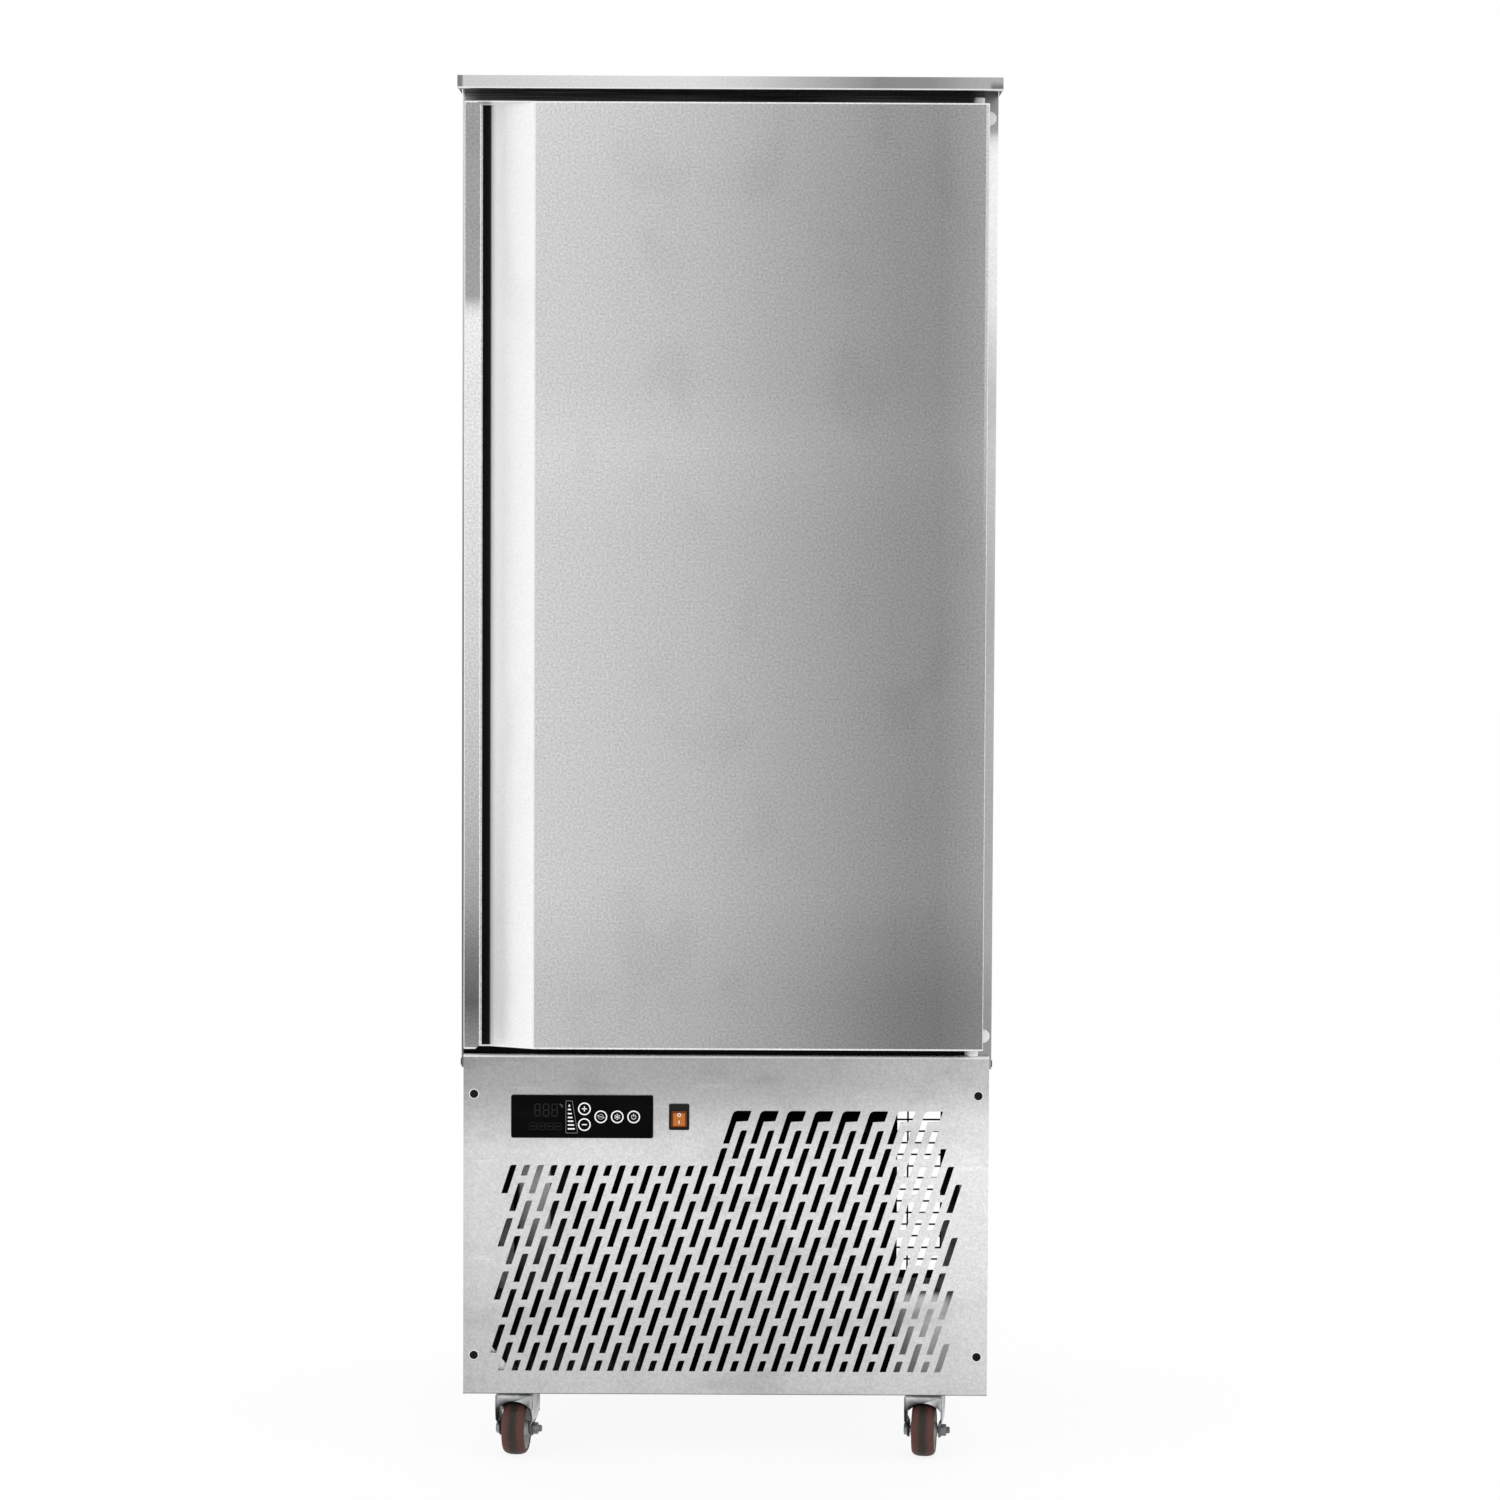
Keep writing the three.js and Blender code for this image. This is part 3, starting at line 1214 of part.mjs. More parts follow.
function caster(name, [x, y]) {
  const group = new THREE.Group();
  group.position.set(x, y, 0);
  group.add(node(`${name}_caster_plate`, casterPlate(), 'zinc'));
  const swivel = new THREE.Group();
  swivel.rotation.z = radians(CASTER_TURN);
  swivel.add(
    node(`${name}_caster_fork`, casterFork(), 'zinc'),
    node(`${name}_caster_tyre`, casterTyre(), 'tyre'),
    node(`${name}_caster_hub`, casterHub(), 'hub'),
    node(`${name}_caster_axle`, casterAxle(), 'zinc'),
  );
  group.add(swivel);
  return group;
}

// ---------------------------------------------------------------- assembly

const chiller = new THREE.Group();

chiller.add(
  node('cabinet_shell', cabinetShell(), 'steel'),
  node('cabinet_insulation', cabinetInsulation(), 'foam'),
  node('inner_liner', innerLiner(), 'liner'),
  node('mouth_frame', mouthFrame(), 'greyPlastic'),
  node('top_cover', topCover(), 'steel'),
  node('top_hinge_bracket', hingeBracket(1, doorTop), 'zinc'),
  node('bottom_hinge_bracket', hingeBracket(-1, doorBottom), 'zinc'),
);

chiller.add(
  node('door_skin', doorSkin(), 'steel'),
  node('door_insulation', doorInsulation(), 'foam'),
  node('door_liner', doorLiner(), 'liner'),
  node('door_gasket', doorGasket(), 'rubber'),
);

chiller.add(
  node('left_rack', rack(-1), 'liner'),
  node('right_rack', rack(1), 'liner'),
  node('fan_cover', fanCover(), 'liner'),
  node('evaporator_coil', evaporatorCoil(), 'aluminium'),
);

for (const [name, place] of Object.entries(evaporatorFans)) {
  const motor = fanMotor(place, EVAPORATOR_FAN_RADIUS, coverBack + FIT);
  chiller.add(
    node(`${name}_evaporator_fan`, axialFan(place, EVAPORATOR_FAN_RADIUS), 'aluminium'),
    node(`${name}_evaporator_motor`, motor, 'blackMatt'),
  );
}

chiller.add(
  node('base_frame', baseFrame(), 'zinc'),
  node('grille_panel', grillePanel(), 'steel'),
  node('left_side_cover', sideCover(-1), 'steel'),
  node('right_side_cover', sideCover(1), 'steel'),
  node('rear_cover', rearCover(), 'blackMatt'),
);

chiller.add(
  node('controller_case', controllerCase(), 'blackGloss'),
  node('switch_case', switchCase(), 'blackMatt'),
  node('switch_rocker', switchRocker(), 'amber'),
);

for (const [name, place] of Object.entries(keyPlaces)) {
  chiller.add(node(name, key(place), 'blackGloss'));
}

chiller.add(
  node('condenser_coil', condenserCoil(), 'blackMatt'),
  node('condenser_shroud', condenserShroud(), 'blackMatt'),
  node('condenser_fan', axialFan(condenserFan, CONDENSER_FAN_RADIUS), 'aluminium'),
  node('condenser_fan_motor', condenserMotor(), 'blackMatt'),
  node('compressor', compressor(), 'blackMatt'),
  node('liquid_receiver', liquidReceiver(), 'blackMatt'),
  node('suction_line', suctionLine(), 'copper'),
  node('electrics_box', electricsBox(), 'zinc'),
);

for (const [name, place] of Object.entries(casterPlaces)) {
  chiller.add(caster(name, place));
}

export default chiller;
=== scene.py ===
# The looks of the upright blast chiller: its sheet metal, slotted panel, controller, casters and
# the fittings inside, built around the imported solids. Lengths are written in millimetres, apart
# from the places in the finishes and in the room, which are in metres.
import json
import math

import bmesh
import bpy
from mathutils import Matrix, Vector
from mathutils.geometry import tessellate_polygon

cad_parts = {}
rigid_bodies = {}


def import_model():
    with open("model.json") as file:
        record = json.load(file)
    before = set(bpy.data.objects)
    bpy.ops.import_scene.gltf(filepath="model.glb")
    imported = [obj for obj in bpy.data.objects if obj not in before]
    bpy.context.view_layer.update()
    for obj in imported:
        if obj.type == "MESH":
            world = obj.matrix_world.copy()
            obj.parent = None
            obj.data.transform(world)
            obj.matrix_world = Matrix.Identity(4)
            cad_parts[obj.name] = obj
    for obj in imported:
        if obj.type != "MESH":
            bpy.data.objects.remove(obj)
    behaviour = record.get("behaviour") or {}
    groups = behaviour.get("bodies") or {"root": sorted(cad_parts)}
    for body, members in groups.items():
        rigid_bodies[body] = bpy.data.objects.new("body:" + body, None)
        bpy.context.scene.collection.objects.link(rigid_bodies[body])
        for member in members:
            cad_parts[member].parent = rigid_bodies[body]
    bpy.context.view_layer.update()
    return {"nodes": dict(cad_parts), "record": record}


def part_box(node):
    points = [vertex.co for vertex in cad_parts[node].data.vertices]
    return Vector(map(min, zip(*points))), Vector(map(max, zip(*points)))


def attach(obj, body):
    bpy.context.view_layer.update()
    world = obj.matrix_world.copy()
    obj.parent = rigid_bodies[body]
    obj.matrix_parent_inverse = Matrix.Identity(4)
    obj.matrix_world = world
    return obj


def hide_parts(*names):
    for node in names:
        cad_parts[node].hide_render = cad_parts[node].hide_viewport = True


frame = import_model()

MM = 0.001
BODY = {node: body for body, nodes in frame["record"]["behaviour"]["bodies"].items()
        for node in nodes}


def extent(node):
    """The lowest and highest corner of a CAD node, in millimetres."""
    low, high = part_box(node)
    return low / MM, high / MM


# ------------------------------------------------------------------ sizes

GAP = 0.3   # between pieces that are seated on each other
SKIN = 1.0  # the sheet of the door, the case and the chamber

door_low, door_high = extent("door_skin")
case_low, case_high = extent("cabinet_shell")
mouth_low, mouth_high = extent("mouth_frame")
chamber_low, chamber_high = extent("inner_liner")
panel_low, panel_high = extent("grille_panel")

# The door from its left edge and its front: the lip, the recess behind it and the ramp out of it
LIP_EDGE, LIP, LIP_SIDE = 22.7, 3.0, 6.0
GRIP_DEPTH, GRIP_FLOOR, GRIP_RAMP = 32.0, 34.5, 97.0
STRIP_CORNER = 5.5
RAISED_INSET = 15.0  # from the chamber's walls to the raised field of the door's inner face

# The case: the hem of its sides, the mouth in its front and the chamber's opening behind it,
# to a tenth of a millimetre
HEM = 14.0
BODY_BOTTOM = round(case_low.z + HEM, 1)
MOUTH_X = (round(mouth_low.x - GAP, 1), round(mouth_high.x + GAP, 1))
MOUTH_Z = (round(mouth_low.z - GAP, 1), round(mouth_high.z + GAP, 1))
OPENING_X = (round(chamber_low.x + SKIN, 1), round(chamber_high.x - SKIN, 1))
OPENING_Z = (round(chamber_low.z + SKIN, 1), round(chamber_high.z - SKIN, 1))

# The lower panel: rows of leaning slots, hooked ones above them, screws and two openings
PANEL_SHEET, PANEL_FOLD = 1.5, 2.0
SLOT_WIDTH, SLOT_HEIGHT, SLOT_LEAN = 8.7, 40.0, 0.324
SLOT_STEP_X, SLOT_STEP_Z, ROW_SHIFT = 38.15, 24.95, 10.991
FIRST_X, FIRST_Z, ROW_SLOTS, LAST_ROW, RAISED_FROM = -302.6, 394.6, 17, 12, 7
SLOT_BOTTOM = 125.1
HOOK_TOP, HOOK_STEM, HOOK_WIDTH, HOOK_HEIGHT = 22.5, 23.8, 24.8, 15.5
WHOLE, FOOT, HEAD, HOOK, SCREW, CONTROLLER, SWITCH = range(7)
PANEL_SCREWS_X, PANEL_SCREWS_Z = (-351.5, 351.5), (147, 514)
CONTROLLER_X, SWITCH_X, CONTROLS_Z = -200.7, -65.5, 483.0
CONTROLLER_HOLE, SWITCH_HOLE = ((-91, 91), (-22, 22)), ((-12.95, 12.95), (-17, 17))

# The controller's keys and print, and the rocker in its well
KEYS = ("key_up", "key_down", "key_cycle", "key_freeze", "key_power")
KEY_RADIUS, KEY_WELL, PRINT = 9.0, 9.5, 0.06
ROCKER_GAP, ROCKER_WELL_Z, ROCKER_PIVOT_Y, ROCKER_TILT = 0.6, (467.2, 492.4), -333.4, 10

# The casters, each about its own swivel axis
TRAIL, TURN = 12.0, math.radians(-7)
FORK_HALF, FOOT_HALF, FORK_SHEET, FORK_BEND = 27.0, 23.0, 2.5, 3.0
FORK_FRONT, FORK_BACK, FORK_EYE, ARCH_TOP, ARCH_DROP = -31.0, 24.8, 11.0, 10.0, 12.0
WEB_SIDE, WEB_MIDDLE, WEB_FLAT = 34.0, 22.0, 12.0
PLATE_SHEET, PLATE_BOLTS, TREAD_HALF = 3.0, (-27, 27), 16.0

# The fans, their guards and motors, and what stands on the compartment's tray
BLADES, HUB_RADIUS, HUB_HALF, SHAFT_BORE = 5, 28.0, 13.0, 4.3
FAN_HOLE, MOTOR_RADIUS, MOTOR_BACK, LEG_SHEET = 128, 40, 19, 2.5
POT_RADIUS, POT_HEIGHT, RISER_X = 92.0, 235.0, 46.0
VESSEL_RADIUS, VESSEL_LIFT, SADDLE_X = 45.0, 22.0, 78.0
LINE_RADIUS, LINE_SHIFT = 8.6, 120.0


# ------------------------------------------------------------------ node trees

class Value:
    """A socket of a node tree. Arithmetic on it adds Math nodes; add() makes any other node."""

    def __init__(self, tree, socket):
        self.tree, self.socket = tree, socket

    def add(self, kind, settings=None, inputs=None, output=0):
        made = self.tree.nodes.new(kind)
        for name, value in (settings or {}).items():
            if name == "stops":
                elements = made.color_ramp.elements
                while len(elements) < len(value):
                    elements.new(1)
                for element, (place, level) in zip(elements, value):
                    element.position = place
                    element.color = (level, level, level, 1)
            else:
                setattr(made, name, value)
        for name, value in (inputs or {}).items():
            if isinstance(value, Value):
                self.tree.links.new(value.socket, made.inputs[name])
            else:
                made.inputs[name].default_value = value
        return Value(self.tree, made.outputs[output])

    def math(self, operation, *values):
        return self.add("ShaderNodeMath", {"operation": operation}, dict(enumerate(values)))

    def __add__(self, other):
        return self.math("ADD", self, other)

    def __mul__(self, other):
        return self.math("MULTIPLY", self, other)

    def __sub__(self, other):
        return self.math("SUBTRACT", self, other)

    def __rsub__(self, other):
        return self.math("SUBTRACT", other, self)

    def __truediv__(self, other):
        return self.math("DIVIDE", self, other)

    __radd__ = __add__
    __rmul__ = __mul__

    def absolute(self):
        return self.math("ABSOLUTE", self)

    def up_to_one(self):
        return self.math("MINIMUM", self, 1.0)

    def ease(self, low, high):
        """0 below low, 1 above high, and smooth between them."""
        return self.add("ShaderNodeMapRange", {"interpolation_type": "SMOOTHSTEP"},
                        {0: self, 1: low, 2: high, 3: 0.0, 4: 1.0})

    def graded(self, *stops):
        """Grey tones at rising places along this value, in metres."""
        low, high = stops[0][0], stops[-1][0]
        scaled = (self - low) / (high - low)
        return scaled.add("ShaderNodeValToRGB", {
            "stops": [((place - low) / (high - low), tone(level)) for place, level in stops],
        }, {0: scaled})

    def noise(self, scale, stretch=(1, 1, 1), detail=2.0, seed=0.0):
        """Noise between 0 and 1 about 0.5; stretch gives its fineness along each axis."""
        placed = self.add("ShaderNodeMapping", {},
                          {"Vector": self, "Location": (seed, seed, seed), "Scale": stretch})
        return placed.add("ShaderNodeTexNoise", {}, {"Vector": placed, "Scale": scale,
                                                     "Detail": detail})

    def between(self, dark, light):
        """A colour between two, by this value."""
        return self.add("ShaderNodeMix", {"data_type": "RGBA"},
                        {0: self, 6: (*dark, 1), 7: (*light, 1)}, 2)


def tone(level):
    """A display level from 0 to 255 as reflectance."""
    share = level / 255
    return share / 12.92 if share < 0.04 else ((share + 0.055) / 1.055) ** 2.4


class Finish:
    """A material being made: its shader, its own coordinates and what feeds it."""

    def __init__(self, name, roughness, metallic=0.0, **constants):
        self.material = bpy.data.materials.new(name)
        self.material.use_nodes = True
        tree = self.material.node_tree
        self.shader = tree.nodes["Principled BSDF"]
        self.place = Value(tree, tree.nodes.new("ShaderNodeTexCoord").outputs["Object"])
        self.x, self.y, self.z = (
            self.place.add("ShaderNodeSeparateXYZ", {}, {0: self.place}, axis)
            for axis in range(3))
        self.shader.inputs["Roughness"].default_value = roughness
        self.shader.inputs["Metallic"].default_value = metallic
        for label, value in constants.items():
            self.shader.inputs[label.replace("_", " ").title().replace("Ior", "IOR")
                               ].default_value = value

    def feed(self, socket, value):
        value.tree.links.new(value.socket, self.shader.inputs[socket])
        return self

    def bump(self, height, depth, strength=0.5):
        raised = height.add("ShaderNodeBump", {}, {
            "Strength": strength, "Distance": depth * MM, "Height": height})
        return self.feed("Normal", raised)


# ------------------------------------------------------------------ finishes

SATIN, DULL = 0.33, 0.42  # how rough brushed sheet is


def brushed(name, level, along, roughness=SATIN, streaks=0.09, grain=0.08, clouds=0.1):
    """Brushed stainless sheet: fine lines along an axis, speckle and an uneven sheen."""
    finish = Finish(name, roughness, 1.0)
    fineness = [3 if axis == along else 900 for axis in "xyz"]
    lines = finish.place.noise(1.0, fineness, 3.0) - 0.5
    speckle = finish.place.noise(330.0, detail=1.5) - 0.5
    sheen = finish.place.noise(2.6, (1, 1, 0.6), 3.0, 4.0) - 0.5
    smudge = finish.place.noise(11.0, (1, 1, 0.7), 4.0, 9.0).ease(0.52, 0.75)
    finish.wear = 1 + lines * streaks + speckle * grain * 4 + sheen * clouds - smudge * 0.04
    if level:
        finish.feed("Base Color", finish.wear * tone(level))
    finish.feed("Roughness", roughness + lines * 0.1 + smudge * 0.1)
    return finish.bump(lines + speckle * 0.5, 0.05, 0.25)


def door_steel():
    """The door's skin, with light and shade painted into its colour. From the left it has a strip
    painted with the room's reflection, a recess whose floor is painted in shade, a ramp out of it
    painted bright with a faint painted glow, a face painted darker to the right, and painted
    highlights along its folds and ends."""
    finish = brushed("brushed door steel", None, "x", streaks=0.05, grain=0.2, clouds=0.03)
    x, y, z = finish.x, finish.y, finish.z
    on_strip = 1 - x.ease(-0.3390, -0.3386)
    on_face = x.ease(-0.2648, -0.2644)
    on_ramp = (1 - on_strip) * (1 - on_face)

    # Painted light and shade on the face: darker to the right, a lighter band at mid height,
    # painted shade at the lower right and a painted highlight up the right edge.
    across = x.graded((-0.27, 219), (-0.17, 211), (-0.04, 198), (0.07, 181), (0.18, 164),
                      (0.23, 156), (0.29, 151), (0.33, 161), (0.3485, 167))
    height = z.graded((0.585, 228), (0.66, 228), (0.8, 243), (1.3, 246), (1.41, 254),
                      (1.5, 246), (1.75, 246), (1.881, 252))
    low_corner = 1 - (1 - z.ease(0.62, 0.85)) * x.ease(0.05, 0.3) * 0.2
    right_band = 1 + x.ease(0.3482, 0.3488) * z.ease(1.15, 1.8) * 0.8
    face = across * height * low_corner * right_band

    # Painted shade on the recess floor, then the ramp painted bright, with painted shade towards
    # its lower end.
    ramp = x.graded((-0.3315, 24), (-0.3278, 34), (-0.3256, 215), (-0.321, 250), (-0.31, 250),
                    (-0.30, 247), (-0.285, 248), (-0.268, 251), (-0.2645, 236))
    ramp_foot = 1 - (1 - z.ease(0.62, 1.1)) * (1 - x.ease(-0.325, -0.29)) * 0.2
    # Where the ramp leaves the recess floor it gets a faint painted glow and is not metallic.
    painted_glow_mask = on_ramp * x.ease(-0.3282, -0.3266) * (1 - x.ease(-0.322, -0.298))

    # Painted reflection on the strip in front of the lip: the room's tones by height.
    strip = z.graded((0.585, 146), (0.65, 100), (0.722, 130), (0.79, 163), (0.93, 191),
                     (1.2, 219), (1.47, 234), (1.585, 241), (1.6, 222), (1.615, 164), (1.88, 163))
    strip_front = y.ease(-0.3965, -0.3975)
    strip_back = x.ease(-0.3606, -0.3600)
    wall = strip_back * tone(235) + (1 - strip_back) * tone(208)
    strip = strip * strip_front + (1 - strip_front) * wall
    lining = on_strip * strip_back * (1 - strip_front) * 0.7

    outside = y.ease(-0.3985, -0.3965)
    # Painted highlights: light, non-metallic lines along the strip's folds, the right edge and the
    # door's top and bottom ends.
    folds = (x.ease(-0.3600, -0.3608) + x.ease(-0.3405, -0.3399)) * on_strip
    folds = (folds + x.ease(0.3521, 0.3526) * 0.8) * (1 - outside)
    ends = (z.ease(1.8785, 1.8792) + z.ease(0.5877, 0.5870)) * (1 - outside * (1 - on_ramp))
    bright = (folds + ends).up_to_one() * 0.85
    right_wall = x.ease(0.3524, 0.3528) * outside

    bare = face * on_face + ramp * ramp_foot * on_ramp + strip * on_strip
    bare = bare * (1 - right_wall) + right_wall * tone(208)
    wear = finish.wear * (1 - on_ramp * 0.75) + on_ramp * 0.75
    finish.feed("Metallic", (1 - painted_glow_mask) * (1 - bright) * (1 - lining))
    # Painted glow by the recess floor.
    finish.feed("Emission Color", painted_glow_mask * 0.05)
    finish.shader.inputs["Emission Strength"].default_value = 1.0
    return finish.feed("Base Color", (bare * (1 - bright) + bright * tone(240)) * wear)


def panel_steel():
    """The lower panel, with painted light and shade: lighter to the lower right, darker towards its
    top but lighter at its upper right corner, a painted highlight on its top fold and painted
    shade along its foot; with handling marks and wiping streaks.
    """
    finish = brushed("brushed panel steel", None, "x", streaks=0.08, grain=0.12, clouds=0.12)
    x, z = finish.x, finish.z
    # Painted light and shade by height and across, with a lighter upper right corner.
    height = z.graded((0.09, 203), (0.2, 213), (0.3, 226), (0.4, 231), (0.436, 229),
                      (0.471, 214), (0.506, 190), (0.53, 179), (0.569, 176))
    across = x.graded((-0.37, 224), (-0.345, 233), (-0.2, 241), (-0.1, 240), (0.0, 238),
                      (0.1, 241), (0.2, 247), (0.37, 255))
    top_corner = 1 + x.ease(0.1, 0.36) * z.ease(0.44, 0.5) * 0.16
    wiped = finish.place.noise(7.0, (1, 1, 3), 4.0, 2.0).ease(0.5, 0.75)
    scratch = finish.place.noise(60.0, (0.12, 1, 1), 4.0, 7.0).ease(0.66, 0.7)
    face = height * across * top_corner * (1.08 - wiped * 0.16 + scratch * 0.1)
    # Painted highlight along the top fold, not metallic.
    top_fold_highlight = z.ease(0.5652, 0.5660) * 0.9
    # Painted shade along the foot.
    foot = 1 - (1 - z.ease(0.0930, 0.0937)) * 0.75
    finish.feed("Metallic", 1 - top_fold_highlight)
    folded = face * (1 - top_fold_highlight) + top_fold_highlight * tone(238)
    return finish.feed("Base Color", folded * finish.wear * foot)


def switchgear_steel(top):
    """The box behind the slots, with painted light in the middle and painted shade at its sides and
    towards its foot.
    """
    finish = brushed("brushed switchgear steel", None, "z", DULL)
    middle = finish.x.ease(-0.2945, -0.2905) * (1 - finish.x.ease(-0.2505, -0.2475))
    height = (finish.z - top).graded((-0.16, 60), (-0.129, 105), (-0.08, 195), (-0.038, 236))
    # Painted shade at the sides; painted light and shade by height in the middle.
    shade = height * middle + (1 - middle) * tone(34)
    return finish.feed("Base Color", shade * finish.wear)


def base_steel():
    """The compartment's frame: painted light at its tray and painted shade up its posts."""
    finish = brushed("brushed frame steel", None, "z", DULL)
    shade = finish.z.graded((0.09, 236), (0.2, 236), (0.24, 90), (0.3, 40), (0.57, 34))
    return finish.feed("Base Color", shade * finish.wear)


def cover_steel():
    """The top cover, with light and shade painted in. Its band is painted light on the left and
    darker on the right, with painted shade at its left end and over a dent at its right corner and
    a painted highlight along its lower fold, and its underside is painted in shade."""
    finish = brushed("brushed cover steel", None, "x", streaks=0.07, clouds=0.06)
    x, y, z = finish.x, finish.y, finish.z
    # Painted light and shade across the band: light on the left, darker to the right, with painted
    # shade at its left end.
    band = x.graded((-0.3715, 130), (-0.3655, 130), (-0.3648, 206), (-0.2, 222), (-0.05, 226),
                    (0.04, 207), (0.14, 170), (0.2, 144), (0.27, 144), (0.32, 168), (0.35, 176),
                    (0.3715, 180))
    # Painted shade over a dent at the right corner.
    corner_shade = 1 - x.ease(0.351, 0.358) * (1 - z.ease(1.9005, 1.9125)) * 0.62
    back = y.ease(-0.399, -0.36)
    # Painted highlight along the band's lower fold.
    fold = z.ease(1.9006, 1.8998) * 0.9
    # Painted shade on the underside and the band's inner return.
    under = y.ease(-0.3990, -0.3984) * (1 - z.ease(1.9138, 1.9142))
    under = under * (1 - x.absolute().ease(0.3700, 0.3706))
    skin = (band * corner_shade * (1 - fold) + fold * tone(240)) * (1 - back) + back * tone(200)
    return finish.feed("Base Color", (skin * (1 - under) + under * tone(34)) * finish.wear)


def case_steel():
    """The case's skin, painted lighter towards its top. Its front has painted shade in the gap
    above the door and below it, and the flange beside the door and the left front edge are painted
    in light and shade by height; the flange's tone falls towards the foot."""
    finish = brushed("brushed case steel", None, "z", clouds=0.1)
    x, y, z = finish.x, finish.y, finish.z
    front = 1 - y.ease(-0.3216, -0.3206)
    right = x.ease(0.332, 0.334)
    # Painted light and shade by height on the flange beside the door.
    flange = z.graded((0.585, 153), (0.645, 154), (0.714, 170), (0.92, 176), (1.06, 183),
                      (1.2, 180), (1.34, 198), (1.41, 204), (1.48, 198), (1.55, 215),
                      (1.617, 236), (1.67, 238), (1.756, 249), (1.828, 247), (1.842, 225),
                      (1.852, 165), (1.88, 150))
    # Painted light and shade: the sides lighter towards the top.
    height = z.graded((0.55, 178), (0.9, 196), (1.4, 214), (1.9, 206))
    skin = height * (1 - front * right) + flange * front * right
    # Painted shade in the gap above the door, with streaks in it, and in the gap below it.
    above = z.ease(1.8740, 1.8750) * (1 - x.ease(0.350, 0.352)) * front
    below = z.ease(0.5900, 0.5890) * (1 - right) * front
    streak = finish.place.noise(1.0, (6, 6, 700), 2.0, 3.0).ease(0.3, 0.75)
    strip = x.graded((-0.37, 165), (-0.352, 125), (-0.345, 96), (-0.3, 90), (-0.2, 78),
                     (0.0, 62), (0.1, 58), (0.2, 84), (0.3, 70), (0.33, 66), (0.35, 130))
    skin = skin * (1 - above) + strip * (streak * 1.3 + 0.35) * above
    skin = skin * (1 - below) + below * tone(12)
    # Painted light and shade by height on the left front edge, which is not metallic.
    edge = (1 - x.ease(-0.3676, -0.3669)) * (1 - y.ease(-0.3200, -0.3190))
    rim = z.graded((0.585, 112), (0.78, 114), (1.2, 140), (1.62, 203), (1.88, 225))
    finish.feed("Metallic", 1 - edge).feed("Roughness", SATIN + edge * 0.6)
    return finish.feed("Base Color", (skin * (1 - edge) + rim * edge) * finish.wear)


def plated_zinc(name, dark, light):
    """Zinc plating with soft blotches and dirt, and painted shade where a piece carries its shade
    attribute.
    """
    finish = Finish(name, 0.36, 0.9)
    blotch = finish.place.noise(55.0, detail=4.0, seed=3.0)
    fine = finish.place.noise(700.0, detail=2.0) - 0.5
    dirt = finish.place.noise(24.0, detail=5.0, seed=12.0).ease(0.55, 0.72)
    shade = finish.place.add("ShaderNodeAttribute", {"attribute_name": "shade"}, {}, 2)
    level = (blotch.ease(0.3, 0.7) * (light - dark) + dark) * (1 + fine * 0.2) * (1 - dirt * 0.25)
    # Painted shade from the shade attribute.
    level = level * (1 - shade * 0.96)
    finish.feed("Base Color", level.between((0, 0, 0), (0.98, 1.0, 1.02)))
    finish.feed("Roughness", 0.3 + blotch * 0.2 + dirt * 0.15)
    return finish.bump(fine + dirt * 0.4, 0.05, 0.4)


def worn_paint(name, dark, light, roughness, grain=800.0, metallic=0.0, depth=0.08, shine=0.5):
    """A painted or moulded surface: fine texture, rubbed patches and dust that lies in it."""
    finish = Finish(name, roughness, metallic, specular_ior_level=shine)
    fine = finish.place.noise(grain, detail=2.0) - 0.5
    rubbed = finish.place.noise(14.0, detail=4.0, seed=5.0).ease(0.45, 0.8)
    finish.feed("Base Color", (rubbed * 0.7 + fine * 0.6 + 0.1).between(dark, light))
    finish.feed("Roughness", roughness + rubbed * 0.12 + fine * 0.1)
    return finish.bump(fine, depth, 0.5)


def tyre_rubber():
    """Cast tread: a dark worn band around its middle and redder shoulders."""
    finish = Finish("maroon tyre", 0.62, specular_ior_level=0.2)
    across = finish.place.add("ShaderNodeAttribute", {"attribute_name": "across"}, {}, 2)
    worn = finish.place.noise(160.0, detail=5.0) - 0.5
    patch = finish.place.noise(45.0, detail=4.0, seed=2.0) - 0.5
    middle = 1 - (across + worn * 0.35).absolute().ease(0.12, 0.62)
    colour = middle.between((0.105, 0.044, 0.039), (0.032, 0.027, 0.021))
    dust = (patch + worn).ease(0.1, 0.55) * 0.5
    colour = dust.add("ShaderNodeMix", {"data_type": "RGBA"},
                      {0: dust, 6: colour, 7: (0.15, 0.095, 0.085, 1)}, 2)
    finish.feed("Base Color", colour)
    finish.feed("Roughness", 0.55 + worn * 0.3)
    return finish.bump(worn + patch, 0.4, 0.5)


def amber_lens():
    """Translucent amber rocker with a brighter window around its two marks and painted shade along
    its sides.
    """
    finish = Finish("amber rocker", 0.25, coat_weight=0.1, coat_roughness=0.08,
                    specular_ior_level=0.12)
    across, up = (finish.x - SWITCH_X * MM).absolute(), (finish.z - 0.4795).absolute()
    window = across.ease(0.0088, 0.0076) * up.ease(0.0092, 0.0078)
    # Painted shade darkening the rocker's sides.
    rim = across.ease(0.0096, 0.0108)
    fine = finish.place.noise(500.0) - 0.5
    glow = (window * 0.95 + fine * 0.2) * (1 - rim)
    finish.feed("Base Color", glow.between((0.13, 0.036, 0.010), (0.50, 0.155, 0.027)))
    finish.feed("Emission Color", glow.between((0.02, 0.004, 0), (0.16, 0.045, 0.006)))
    finish.shader.inputs["Emission Strength"].default_value = 0.35
    return finish.bump(fine, 0.05, 0.2)


